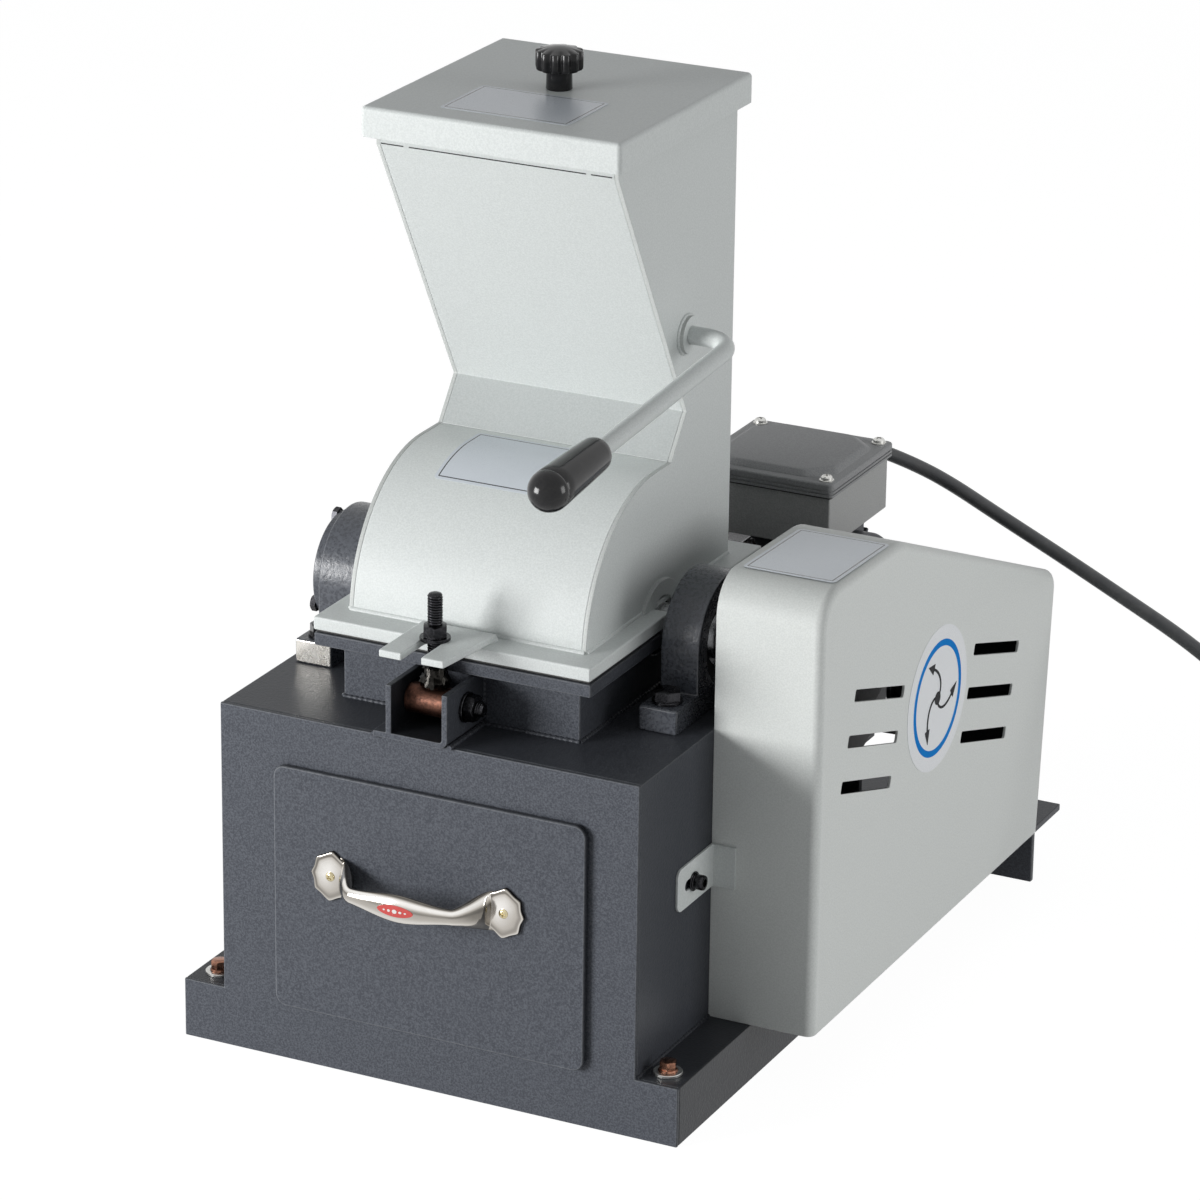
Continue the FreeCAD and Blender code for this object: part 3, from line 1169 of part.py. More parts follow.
# Motor
def motor_frame():
    half = MOTOR_HALF_LENGTH
    start = at(-half, MOTOR_Y, MOTOR_Z)
    shapes = []
    for step in range(MOTOR_FINS):
        fin = block(-half, half, MOTOR_Y + MOTOR_BORE_RADIUS, MOTOR_Y + MOTOR_FIN_RADIUS,
                    MOTOR_Z - MOTOR_FIN_THICKNESS / 2, MOTOR_Z + MOTOR_FIN_THICKNESS / 2)
        fin.rotate(start, X, 360.0 * (step + 1 / 2) / MOTOR_FINS)
        shapes.append(fin)
    for side in (-1, 1):
        near = MOTOR_Y + side * MOTOR_FOOT_INNER
        far = MOTOR_Y + side * MOTOR_FOOT_OUTER
        shapes.append(block(-MOTOR_FOOT_HALF_LENGTH, MOTOR_FOOT_HALF_LENGTH, min(near, far), max(near, far),
                            MOTOR_FOOT_Z, MOTOR_FOOT_Z + MOTOR_FOOT_THICKNESS))
        web_far = MOTOR_Y + side * (MOTOR_FOOT_INNER + MOTOR_FOOT_THICKNESS / 2)
        shapes.append(block(-MOTOR_FOOT_HALF_LENGTH, MOTOR_FOOT_HALF_LENGTH, min(near, web_far),
                            max(near, web_far), MOTOR_FOOT_Z, MOTOR_Z))
    shapes.append(block(BOX_X - BOX_LENGTH / 2 + NECK_INSET, BOX_X + BOX_LENGTH / 2 - NECK_INSET,
                        MOTOR_Y - BOX_BREADTH / 2 + NECK_INSET, MOTOR_Y + BOX_BREADTH / 2 - NECK_INSET,
                        MOTOR_Z, BOX_BOTTOM))
    body = cylinder(start, 2 * half, MOTOR_FRAME_RADIUS, X).multiFuse(shapes)
    body = body.cut(cylinder(start, 2 * half, MOTOR_BORE_RADIUS, X))
    past = block(half, BASE_WIDTH, 0, BASE_WIDTH + BASE_DEPTH, 0, HOPPER_TOP_Z)
    body = body.cut(past)
    for x, y in motor_bolt_places():
        body = body.cut(cylinder(at(x, y, MOTOR_FOOT_Z), MOTOR_FOOT_THICKNESS, M10_RADIUS, Z))
    stator = ring(at(-CORE_HALF_LENGTH, MOTOR_Y, MOTOR_Z), 2 * CORE_HALF_LENGTH, MOTOR_BORE_RADIUS,
                  STATOR_BORE, X)
    return [body.removeSplitter(), stator]


def motor_end_shields():
    pieces = []
    bore = MOTOR_SHAFT_RADIUS + RUNNING_CLEARANCE
    for side in (-1, 1):
        axis = X * side
        start = at(side * MOTOR_HALF_LENGTH, MOTOR_Y, MOTOR_Z)
        disc = cylinder(start, SHIELD_THICKNESS, SHIELD_RADIUS, axis)
        hub = cylinder(start + axis * SHIELD_THICKNESS, SHIELD_HUB_LENGTH, SHIELD_HUB_RADIUS, axis)
        shield = disc.fuse(hub).removeSplitter()
        pieces.append(shield.cut(cylinder(start, SHIELD_THICKNESS + SHIELD_HUB_LENGTH, bore, axis)))
    return pieces


def fan_start_x():
    return -MOTOR_HALF_LENGTH - SHIELD_THICKNESS - SHIELD_HUB_LENGTH - OVERRUN - FAN_THICKNESS


def motor_rotor():
    """Shaft with the rotor core and the fan."""
    fan_x = fan_start_x()
    shaft = cylinder(at(fan_x, MOTOR_Y, MOTOR_Z), SHAFT_RIGHT - fan_x, MOTOR_SHAFT_RADIUS, X)
    core = ring(at(-CORE_HALF_LENGTH, MOTOR_Y, MOTOR_Z), 2 * CORE_HALF_LENGTH, ROTOR_CORE_RADIUS,
                MOTOR_SHAFT_RADIUS, X)
    fan = ring(at(fan_x, MOTOR_Y, MOTOR_Z), FAN_THICKNESS, FAN_RADIUS, MOTOR_SHAFT_RADIUS, X)
    return [shaft, core, fan]


def motor_fan_cover():
    root = -MOTOR_HALF_LENGTH - SHIELD_THICKNESS / 2
    far = -MOTOR_HALF_LENGTH - SHIELD_THICKNESS - FAN_COVER_LENGTH
    outer = SHIELD_RADIUS + THIN_SHEET
    cup = cylinder(at(far, MOTOR_Y, MOTOR_Z), root - far, outer, X)
    cup = cup.cut(cylinder(at(far + THIN_SHEET, MOTOR_Y, MOTOR_Z), root - far, SHIELD_RADIUS, X))
    slots = []
    for step in range(FAN_SLOTS):
        slot = block(far - OVERRUN, far + OVERRUN, MOTOR_Y + FAN_SLOT_INNER, MOTOR_Y + FAN_SLOT_OUTER,
                     MOTOR_Z - FAN_SLOT_WIDTH / 2, MOTOR_Z + FAN_SLOT_WIDTH / 2)
        slot.rotate(at(0, MOTOR_Y, MOTOR_Z), X, 360.0 * step / FAN_SLOTS)
        slots.append(slot)
    return cup.cut(Part.makeCompound(slots))


def motor_stand():
    front = MOTOR_Y - STAND_HALF_DEPTH
    rear = MOTOR_Y + STAND_HALF_DEPTH
    half = STAND_HALF_LENGTH
    top = MOTOR_FOOT_Z
    shapes = [block(-half, half, front, rear, top - STAND_PLATE, top)]
    for y0 in (front + STAND_LEG_INSET, rear - STAND_LEG_INSET - STAND_PLATE):
        shapes.append(block(-half, half, y0, y0 + STAND_PLATE, BASE_HEIGHT, top - STAND_PLATE))
    stand = shapes[0].multiFuse(shapes[1:]).removeSplitter()
    for x, y in motor_bolt_places():
        stand = stand.cut(cylinder(at(x, y, BASE_HEIGHT), top, M10_RADIUS, Z))
    return stand


# Terminal box
def box_outline(grow):
    return (BOX_X - BOX_LENGTH / 2 - grow, BOX_X + BOX_LENGTH / 2 + grow,
            MOTOR_Y - BOX_BREADTH / 2 - grow, MOTOR_Y + BOX_BREADTH / 2 + grow)


def box_screw_places():
    x0, x1, y0, y1 = box_outline(BOX_LID_LIP - BOX_SCREW_INSET)
    return [(x, y) for x in (x0, x1) for y in (y0, y1)]


def terminal_box():
    x0, x1, y0, y1 = box_outline(0)
    body = block(x0, x1, y0, y1, BOX_BOTTOM, BOX_TOP)
    body = body.cut(block(x0 + BOX_WALL, x1 - BOX_WALL, y0 + BOX_WALL, y1 - BOX_WALL,
                          BOX_BOTTOM + BOX_WALL, BOX_TOP + OVERRUN))
    posts = []
    for x, y in box_screw_places():
        posts.append(cylinder(at(x, y, BOX_BOTTOM), BOX_HEIGHT, BOX_POST_RADIUS, Z))
    body = body.multiFuse(posts).common(block(x0, x1, y0, y1, BOX_BOTTOM, BOX_TOP)).removeSplitter()
    for x, y in box_screw_places():
        depth = BOX_SCREW_LENGTH - BOX_LID_THICKNESS
        body = body.cut(cylinder(at(x, y, BOX_TOP - depth), BOX_HEIGHT, M4_RADIUS, Z))
    return body.cut(cylinder(at(GLAND_X, y1 - 2 * BOX_WALL, GLAND_Z), 3 * BOX_WALL, GLAND_NECK_RADIUS, Y))


def terminal_box_lid():
    x0, x1, y0, y1 = box_outline(BOX_LID_LIP)
    top = BOX_TOP + BOX_LID_THICKNESS
    lid = block(x0, x1, y0, y1, BOX_TOP, top)
    upright = [edge for edge in lid.Edges if abs(edge.tangentAt(edge.FirstParameter).z) > 1 / 2]
    lid = lid.makeFillet(BOX_CORNER, upright)
    inset = BOX_LID_CROWN_INSET
    cut = BOX_LID_CROWN_CHAMFER
    a0, a1, b0, b1 = x0 + inset, x1 - inset, y0 + inset, y1 - inset
    points = [at(a0 + cut, b0, top), at(a1 - cut, b0, top), at(a1, b0 + cut, top), at(a1, b1 - cut, top),
              at(a1 - cut, b1, top), at(a0 + cut, b1, top), at(a0, b1 - cut, top), at(a0, b0 + cut, top)]
    crown = Part.Face(Part.makePolygon(points + points[:1])).extrude(Z * BOX_LID_CROWN)
    rims = [edge for edge in crown.Edges
            if min(vertex.Z for vertex in edge.Vertexes) > top + BOX_LID_CROWN / 2]
    crown = crown.makeChamfer(BOX_LID_CROWN_BEVEL, rims)
    lid = lid.fuse(crown).removeSplitter()
    for x, y in box_screw_places():
        lid = lid.cut(cylinder(at(x, y, BOX_TOP), CABINET_TOP, M4_RADIUS, Z))
    return lid


def terminal_box_screws():
    pieces = []
    seat = BOX_TOP + BOX_LID_THICKNESS
    for x, y in box_screw_places():
        disc = cylinder(at(x, y, seat), SMALL_WASHER_HEIGHT, SMALL_WASHER_RADIUS, Z)
        head = cylinder(at(x, y, seat + SMALL_WASHER_HEIGHT), M4_HEAD, M4_HEAD_RADIUS, Z)
        shank = cylinder(at(x, y, seat - BOX_SCREW_LENGTH), BOX_SCREW_LENGTH, M4_RADIUS, Z)
        pieces.append(disc.multiFuse([head, shank]).removeSplitter())
    return pieces


def cable_gland():
    wall_y = MOTOR_Y + BOX_BREADTH / 2
    gland = hexagon(at(GLAND_X, wall_y, GLAND_Z), GLAND_HEX, GLAND_FLATS, Y)
    gland = gland.fuse(cylinder(at(GLAND_X, wall_y + GLAND_HEX, GLAND_Z), GLAND_DOME, GLAND_DOME_RADIUS, Y))
    gland = gland.fuse(cylinder(at(GLAND_X, wall_y - BOX_WALL, GLAND_Z), BOX_WALL, GLAND_NECK_RADIUS, Y))
    return gland.removeSplitter()


# Belt guard with its bracket
def guard_points(inset):
    """The side view of the guard, drawn in by inset."""
    slope = math.atan2(GUARD_KINK_Z - GUARD_REAR_TOP_Z, GUARD_REAR_TOP_Y - GUARD_KINK_Y)
    rear_lean = (GUARD_REAR_TOP_Y - BASE_DEPTH) / (GUARD_REAR_TOP_Z - BASE_HEIGHT)
    top_z = GUARD_REAR_TOP_Z + inset * math.tan(slope) - inset / math.cos(slope)
    foot_z = BASE_HEIGHT if inset == 0 else BASE_HEIGHT - OVERRUN
    rear_foot = BASE_DEPTH - inset - rear_lean * (BASE_HEIGHT - foot_z)
    return [at(0, GUARD_FRONT + inset, foot_z), at(0, GUARD_FRONT + inset, GUARD_TOP - inset),
            at(0, GUARD_KINK_Y, GUARD_KINK_Z - inset), at(0, GUARD_REAR_TOP_Y - inset, top_z),
            at(0, rear_foot, foot_z)]


def guard_shape(inset, x0, x1):
    radii = [0, GUARD_FRONT_ROUND - inset, GUARD_KINK_ROUND, GUARD_REAR_ROUND - inset, 0]
    shape = plate_x(rounded_wire(guard_points(inset), radii), x0, x1)
    low = shape.BoundBox.ZMin
    round_radius = GUARD_EDGE_ROUND - inset
    rims = [edge for edge in shape.Edges
            if edge.BoundBox.XMin > x1 - round_radius and edge.BoundBox.ZMax > low + round_radius]
    return shape.makeFillet(round_radius, rims)


def louvre(y, z):
    """One slot in the side of the guard, lower at its rear end, with small round corners."""
    depth = 3 * THIN_SHEET
    corner = at(GUARD_OUTER_X - 2 * THIN_SHEET, y - LOUVRE_LENGTH / 2, z - LOUVRE_HEIGHT / 2)
    bar = Part.makeBox(depth, LOUVRE_LENGTH, LOUVRE_HEIGHT, corner)
    rims = [edge for edge in bar.Edges if edge.BoundBox.XLength > THIN_SHEET]
    bar = bar.makeFillet(LOUVRE_CORNER, rims)
    bar.rotate(at(0, y, z), X, -LOUVRE_LEAN)
    return bar


def louvre_places():
    """Two stacks of slots, each square to the slots' own lean."""
    lean = math.radians(LOUVRE_LEAN)
    places = []
    for side in (-1, 1):
        for row in range(LOUVRE_ROWS):
            along = side * LOUVRE_OFFSET
            across = side * LOUVRE_RISE - (row - (LOUVRE_ROWS - 1) / 2) * LOUVRE_PITCH
            y = LOUVRE_Y + along * math.cos(lean) + across * math.sin(lean)
            z = LOUVRE_Z - along * math.sin(lean) + across * math.cos(lean)
            places.append((y, z))
    return places


def belt_guard():
    outer = guard_shape(0, GUARD_INNER_X, GUARD_OUTER_X)
    inner = guard_shape(THIN_SHEET, GUARD_INNER_X - OVERRUN, GUARD_OUTER_X - THIN_SHEET)
    guard = outer.cut(inner)
    for y, z in louvre_places():
        guard = guard.cut(louvre(y, z))
    return guard


def guard_bracket():
    """Angle plate on the cabinet's side, its flap against the front of the guard."""
    top = BRACKET_BOTTOM + BRACKET_HEIGHT
    points = [at(0, BRACKET_FRONT, BRACKET_BOTTOM), at(0, GUARD_FRONT, BRACKET_BOTTOM),
              at(0, GUARD_FRONT, top), at(0, BRACKET_FRONT, top)]
    wire = rounded_wire(points, [BRACKET_CORNER, 0, 0, BRACKET_CORNER])
    plate = plate_x(wire, HALF_CABINET, HALF_CABINET + THIN_SHEET)
    flap = block(HALF_CABINET, HALF_CABINET + BRACKET_FLAP, GUARD_FRONT - THIN_SHEET, GUARD_FRONT,
                 BRACKET_BOTTOM, top)
    bracket = plate.fuse(flap).removeSplitter()
    for y in (BRACKET_SLOT_START, BRACKET_SLOT_END):
        bracket = bracket.cut(cylinder(at(0, y, BRACKET_MIDDLE_Z), BASE_WIDTH, BRACKET_SLOT_HALF, X))
    return bracket.cut(block(0, BASE_WIDTH, BRACKET_SLOT_START, BRACKET_SLOT_END,
                             BRACKET_MIDDLE_Z - BRACKET_SLOT_HALF, BRACKET_MIDDLE_Z + BRACKET_SLOT_HALF))


def guard_screw():
    """Socket screw through the slot into the cabinet, with its washer."""
    seat_x = HALF_CABINET + THIN_SHEET
    place = at(seat_x + WASHER_HEIGHT, BRACKET_SLOT_END, BRACKET_MIDDLE_Z)
    screw = cylinder(place, BRACKET_SCREW_HEAD, BRACKET_SCREW_HEAD_RADIUS, X)
    screw = screw.cut(cylinder(place + X * (BRACKET_SCREW_HEAD - BRACKET_SOCKET_DEPTH), BRACKET_SCREW_HEAD,
                               BRACKET_SOCKET_RADIUS, X))
    screw = screw.fuse(cylinder(place - X * BRACKET_SCREW_LENGTH, BRACKET_SCREW_LENGTH, M6_RADIUS, X))
    disc = washer(at(seat_x, BRACKET_SLOT_END, BRACKET_MIDDLE_Z), WASHER_HEIGHT, BRACKET_WASHER_RADIUS,
                  M6_RADIUS, X)
    return [screw, disc]


# Mains lead
def cord_points():
    """The route from the gland's mouth to where the coil starts on the floor."""
    mouth_y = MOTOR_Y + BOX_BREADTH / 2 + GLAND_HEX + GLAND_DOME
    return [at(GLAND_X + right, mouth_y + behind, CORD_LIE + (GLAND_Z - CORD_LIE) * share)
            for right, behind, share in CORD_ROUTE]


def tube(path, start, direction, radius):
    section = Part.Wire(Part.makeCircle(radius, start, direction))
    return path.makePipeShell([section], True, False)


def cord_path(points):
    """Straight runs with a tangent arc at each point, as large as the two runs allow."""
    edges = []
    cursor = points[0]
    radii = []
    for index in range(1, len(points) - 1):
        before, corner, after = points[index - 1:index + 2]
        turn = math.pi - (before - corner).getAngle(after - corner)
        shorter = min((before - corner).Length, (after - corner).Length)
        radius = ROUTE_ARC_SHARE * shorter / math.tan(turn / 2)
        radii.append(radius)
        start, middle, end = corner_arc(before, corner, after, radius)
        edges.append(line(cursor, start))
        edges.append(Part.Arc(start, middle, end).toShape())
        cursor = end
    edges.append(line(cursor, points[-1]))
    print("cord radii", [round(radius) for radius in radii])
    return Part.Wire(edges)


def power_cord():
    points = cord_points()
    path = cord_path(points)
    cord = tube(path, points[0], points[1] - points[0], CORD_RADIUS)
    print("cord length", round(path.Length, 1), "volume share",
          round(cord.Volume / (math.pi * CORD_RADIUS ** 2 * path.Length), 4))
    return cord


def arc_along(start, tangent, end):
    """The arc from start, along its tangent there, to end."""
    chord = end - start
    unit = (end - start).normalize()
    bend = tangent.getAngle(unit)
    if bend < 1e-6:
        return line(start, end)
    middle = start + (tangent + unit).normalize() * (chord.Length / (2 * math.cos(bend / 2)))
    return Part.Arc(start, middle, end).toShape()


def biarc(start, start_tangent, end, end_tangent):
    chord = end - start
    both = start_tangent + end_tangent
    spread = 2 * (1 - start_tangent.dot(end_tangent))
    reach = chord.dot(both)
    if spread < 1e-9:
        size = chord.dot(chord) / (2 * reach)
    else:
        size = (math.sqrt(reach ** 2 + spread * chord.dot(chord)) - reach) / spread
    joint = (start + end + (start_tangent - end_tangent) * size) / 2
    joint_tangent = (joint - start - start_tangent * size).normalize()
    return [arc_along(start, start_tangent, joint), arc_along(joint, joint_tangent, end)]


def coil_frame():
    """Where the coil's spiral starts: its middle and the direction of the first radius."""
    before, end = cord_points()[-2:]
    heading = at(end.x - before.x, end.y - before.y, 0).normalize()
    start = end + heading * COIL_LEAD
    outward = at(heading.y, -heading.x, 0) * -1
    middle = start + outward * (-1) * coil_radius(0)
    return start, heading, outward, middle


def coil_radius(half_turns):
    """Radius of the spiral: in at a steady rate on the floor layer, and out again on the next."""
    inward = COIL_HALF_TURNS / 2
    outer = COIL_INNER_RADIUS + COIL_PITCH * inward / 2
    if half_turns <= inward:
        return outer - COIL_PITCH * half_turns / 2
    return COIL_INNER_RADIUS + COIL_PITCH * (half_turns - inward) / 2


def coil_height(half_turns):
    """Height over the floor layer: one layer up in the half turn where the spiral reverses."""
    inward = COIL_HALF_TURNS / 2
    share = min(max(half_turns - inward + 1 / 2, 0), 1)
    return COIL_LAYER_STEP * (3 * share ** 2 - 2 * share ** 3)


def coil_point(half_turns):
    start, heading, outward, middle = coil_frame()
    angle = math.pi * half_turns
    radius = coil_radius(half_turns)
    flat = outward * math.cos(angle) + heading * math.sin(angle)
    return middle + flat * radius + Z * coil_height(half_turns)


def coil_tangent(half_turns):
    step = 1e-4
    low = max(half_turns - step, 0)
    high = min(half_turns + step, COIL_HALF_TURNS)
    return (coil_point(high) - coil_point(low)).normalize()


def coil_edges():
    start, heading, outward, middle = coil_frame()
    count = COIL_HALF_TURNS * COIL_STEPS_PER_HALF_TURN
    places = [index / COIL_STEPS_PER_HALF_TURN for index in range(count + 1)]
    tangents = [coil_tangent(place) for place in places]
    tangents[0] = heading
    edges = [line(start - heading * COIL_LEAD, start)]
    for index in range(count):
        edges += biarc(coil_point(places[index]), tangents[index], coil_point(places[index + 1]),
                       tangents[index + 1])
    turned = coil_point(places[-1])
    end = turned + tangents[-1] * COIL_TAIL
    edges.append(line(turned, end))
    return edges, end, tangents[-1]


def cord_coil():
    edges, end, direction = coil_edges()
    path = Part.Wire(edges)
    start, heading, outward, middle = coil_frame()
    coil = tube(path, start - heading * COIL_LEAD, heading, CORD_RADIUS)
    samples = path.discretize(Number=600)
    gap = min((samples[i] - samples[j]).Length for i in range(0, 600, 2) for j in range(i + 40, 600, 2))
    print("coil length", round(path.Length, 1), "gap", round(gap - 2 * CORD_RADIUS, 2), "volume share",
          round(coil.Volume / (math.pi * CORD_RADIUS ** 2 * path.Length), 4))
    return coil


def plug():
    """Rewirable plug at the end of the coil: neck, body and three round pins."""
    edges, end, direction = coil_edges()
    across = direction.cross(Z).normalize()
    neck = cylinder(end, PLUG_NECK_LENGTH, PLUG_NECK_RADIUS, direction)
    near = end + direction * PLUG_NECK_LENGTH
    low = -min(PLUG_HEIGHT / 2, near.z)
    corners = [near + across * (side * PLUG_WIDTH / 2) + Z * low for side in (-1, 1)]
    far = [corner + direction * PLUG_LENGTH for corner in corners[::-1]]
    body = Part.Face(rounded_wire(corners + far, [CORD_RADIUS] * 4)).extrude(Z * PLUG_HEIGHT)
    shapes = [body]
    middle = near + direction * (PLUG_LENGTH - OVERRUN) + Z * (low + PLUG_HEIGHT / 2)
    for side, rise in ((-1, 0), (1, 0), (0, 1)):
        place = middle + across * (side * PLUG_PIN_SPACING / 2) + Z * (rise * PLUG_HEIGHT / 4)
        shapes.append(cylinder(place, PLUG_PIN_LENGTH + OVERRUN, PLUG_PIN_RADIUS, direction))
    return neck.multiFuse(shapes).removeSplitter()


def cord_tie():
    """Band round the turns of the coil, on the side away from the machine."""
    place = COIL_HALF_TURNS / 2 - 1 / 2
    start, heading, outward, middle = coil_frame()
    angle = math.pi * place
    flat = outward * math.cos(angle) + heading * math.sin(angle)
    across = Z.cross(flat)
    reach = CORD_RADIUS + TOUCH_CLEARANCE
    inner_radius = COIL_INNER_RADIUS - reach
    outer_radius = coil_radius(0) + reach
    low = start.z - reach
    high = start.z + COIL_LAYER_STEP + reach

    def loop(grow):
        near = middle + flat * (inner_radius - grow) - across * (TIE_WIDTH / 2)
        far = middle + flat * (outer_radius + grow) - across * (TIE_WIDTH / 2)
        points = [at(near.x, near.y, low - grow), at(far.x, far.y, low - grow),
                  at(far.x, far.y, high + grow), at(near.x, near.y, high + grow)]
        return Part.Face(rounded_wire(points, [CORD_RADIUS / 2 + grow] * 4)).extrude(across * TIE_WIDTH)
    return loop(TIE_THICKNESS).cut(loop(0))


save("base_frame", base_frame())
save("front_sheet", front_sheet())
save("cabinet_shell", cabinet_shell())
save("rear_rail", rear_rail())
save("ledge_bolts", *ledge_bolts())
save("drawer_front", drawer_front())
save("drawer_tray", drawer_tray())
save("drawer_handle", drawer_handle())
save("drawer_handle_screws", *handle_screws())
save("lower_housing", lower_housing())
save("flange_gasket", flange_gasket())
save("hood_flange", hood_flange())
save("fork_lug", fork_lug())
save("hood_front_sheet", hood_front_sheet())
save("side_sheet_left", side_sheet(-1))
save("side_sheet_right", side_sheet(1))
save("hopper_front_sheet", hopper_front_sheet())
save("hopper_rear_sheet", hopper_rear_sheet())
save("hood_hinges", *hood_hinges())
save("hopper_lid", hopper_lid())
save("lid_knob", lid_knob())
save("feed_lever_rod", lever_rod())
save("feed_lever_grip", lever_grip())
save("feed_flap", feed_flap())
save("clamp_channel", clamp_channel())
save("clevis_bolt_set", *clevis_bolt_set())
save("swing_eye", swing_eye())
save("swing_stud", *swing_stud())
save("clamp_nut", *clamp_nut())
save("mill_shaft", mill_shaft())
save("rotor_discs", *rotor_discs())
for number, (pin_y, pin_z) in enumerate(pin_places(), 1):
    save("hammer_row_" + str(number), *hammer_row(pin_y, pin_z))
save("sieve_screen", sieve_screen())
save("bearing_housing_left", bearing_housing(LEFT_HOUSING_X))
save("bearing_housing_right", bearing_housing(RIGHT_HOUSING_X))
save("shaft_bearings", *bearings())
save("bearing_cover_left", bearing_cover())
save("bearing_cover_bolts", *cover_bolts())
save("foot_bolts", *foot_bolts())
save("mill_pulley", pulley(SHAFT_Y, SHAFT_Z, MILL_PULLEY_RADIUS, PULLEY_SEAT_RADIUS))
save("motor_pulley", pulley(MOTOR_Y, MOTOR_Z, MOTOR_PULLEY_RADIUS, MOTOR_SHAFT_RADIUS))
save("v_belt", v_belt())
save("motor_frame", *motor_frame())
save("motor_end_shields", *motor_end_shields())
save("motor_rotor", *motor_rotor())
save("motor_fan_cover", motor_fan_cover())
save("motor_stand", motor_stand())
save("terminal_box", terminal_box())
save("terminal_box_lid", terminal_box_lid())
save("terminal_box_screws", *terminal_box_screws())
save("cable_gland", cable_gland())
save("belt_guard", belt_guard())
save("guard_bracket", guard_bracket())
save("guard_screw", *guard_screw())
save("power_cord", power_cord())
save("cord_coil", cord_coil())
save("cord_tie", cord_tie())
save("cord_plug", plug())
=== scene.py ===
import json
import math
from math import cos, pi, radians, sin

import bmesh
import bpy
from mathutils import Matrix, Vector


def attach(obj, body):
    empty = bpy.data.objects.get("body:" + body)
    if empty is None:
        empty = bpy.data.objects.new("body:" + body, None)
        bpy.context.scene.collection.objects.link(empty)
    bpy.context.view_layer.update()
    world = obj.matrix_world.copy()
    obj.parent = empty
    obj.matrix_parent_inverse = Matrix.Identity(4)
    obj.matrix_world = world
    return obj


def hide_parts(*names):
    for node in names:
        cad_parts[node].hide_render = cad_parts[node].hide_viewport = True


# Laboratory hammer mill: paint, bright parts, fasteners, welds, plates and the mains lead.
# Sizes below are millimetres on the machine: x = 0 mid-plane of the mill, y = 0 front of the
# cabinet, z = 0 floor. at() and mm() turn them into metres in the frame.

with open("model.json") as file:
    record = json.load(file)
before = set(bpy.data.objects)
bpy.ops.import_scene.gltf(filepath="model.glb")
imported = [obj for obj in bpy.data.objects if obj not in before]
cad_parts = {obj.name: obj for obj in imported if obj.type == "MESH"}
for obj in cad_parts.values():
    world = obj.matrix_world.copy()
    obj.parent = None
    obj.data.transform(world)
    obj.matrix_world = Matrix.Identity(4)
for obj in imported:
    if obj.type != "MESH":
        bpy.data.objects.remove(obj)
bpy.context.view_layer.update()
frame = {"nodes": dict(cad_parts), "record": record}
nodes = frame["nodes"]
record = frame["record"]

MIDDLE = Vector((22.0, 232.0588, 0.0))
node_slot = {part["node"]: part["material_slot"] for part in record["subparts"]}
node_body = {node: body for body, members in record["behaviour"]["bodies"].items() for node in members}

X = Vector((1, 0, 0))
Y = Vector((0, 1, 0))
Z = Vector((0, 0, 1))

# Camera: azimuth, elevation and roll in degrees, place, and focal length in picture widths
CAMERA_ANGLES = (26.135, 20.685, 0.732)
CAMERA_PLACE = (1485.8, -2781.6, 1530.4)
CAMERA_FOCAL = 5393.1 / 1200
SENSOR = 36

# Places that several pieces share
SHAFT_Y, SHAFT_Z = 160.0, 284.0
MOTOR_Y, MOTOR_Z = 418.0, 182.0
BOX_X, BOX_LID_Z = 62.0, 310.0
LEVER_ARM_X, LEVER_Y, LEVER_Z = 120.5, 193.5, 471.5
LEVER_REACH, LEVER_DROP, GRIP_LENGTH = 277.0, 19.0, 78.0
CLAMP_X, CLAMP_Y, CLAMP_Z = -5.0, 21.5, 262.7
PULL_X, PULL_Z, PULL_FACE = -3.0, 140.0, -5.0
PULL_HALF, SCREW_HALF = 57.0, 62.5
LID_TOP = 626.0
HOOD_Y, HOOD_Z, HOOD_RADIUS = 151.0, 293.0, 97.0
HOUSING_HALF, HOUSING_FRONT, HOUSING_REAR = 85.0, 47.0, 273.0
GUARD_FACE_X, GUARD_TOP, GUARD_FALL, GUARD_RUN = 224.0, 345.0, 3.0, 97.4


def at(x, y, z):
    return (Vector((x, y, z)) - MIDDLE) / 1000


def to_frame(point):
    return (point - MIDDLE) / 1000


def mm(size):
    return size / 1000


def around(steps):
    """Even angles round a circle."""
    return [2 * pi * step / steps for step in range(steps)]


def on_circle(first, second, radius, degrees):
    """The two measures of a spot on a circle."""
    return first + radius * cos(radians(degrees)), second + radius * sin(radians(degrees))


def linked(name, data):
    """A new object in the scene."""
    piece = bpy.data.objects.new(name, data)
    bpy.context.scene.collection.objects.link(piece)
    return piece


def discard(piece):
    """Takes out a piece that has served its turn, with its mesh."""
    old = piece.data
    bpy.data.objects.remove(piece)
    bpy.data.meshes.remove(old)


# Camera
def aim_camera():
    azimuth, elevation, roll = (radians(angle) for angle in CAMERA_ANGLES)
    back = Vector((sin(azimuth) * cos(elevation), -cos(azimuth) * cos(elevation), sin(elevation)))
    right = Vector((cos(azimuth), sin(azimuth), 0))
    up = back.cross(right)
    turned_right = right * cos(roll) + up * sin(roll)
    turned_up = up * cos(roll) - right * sin(roll)
    data = bpy.data.cameras.new("camera")
    data.sensor_width = SENSOR
    data.lens = CAMERA_FOCAL * SENSOR
    data.clip_start = 0.05
    data.clip_end = 100
    camera = linked("camera", data)
    turn = Matrix((turned_right, turned_up, back)).transposed()
    camera.matrix_world = Matrix.Translation(at(*CAMERA_PLACE)) @ turn.to_4x4()
    bpy.context.scene.camera = camera


aim_camera()


# Node trees
def set_sockets(tree, node, sockets):
    """Sets or links each named socket."""
    for key, value in sockets.items():
        if isinstance(value, bpy.types.NodeSocket):
            tree.links.new(value, node.inputs[key])
        else:
            node.inputs[key].default_value = value


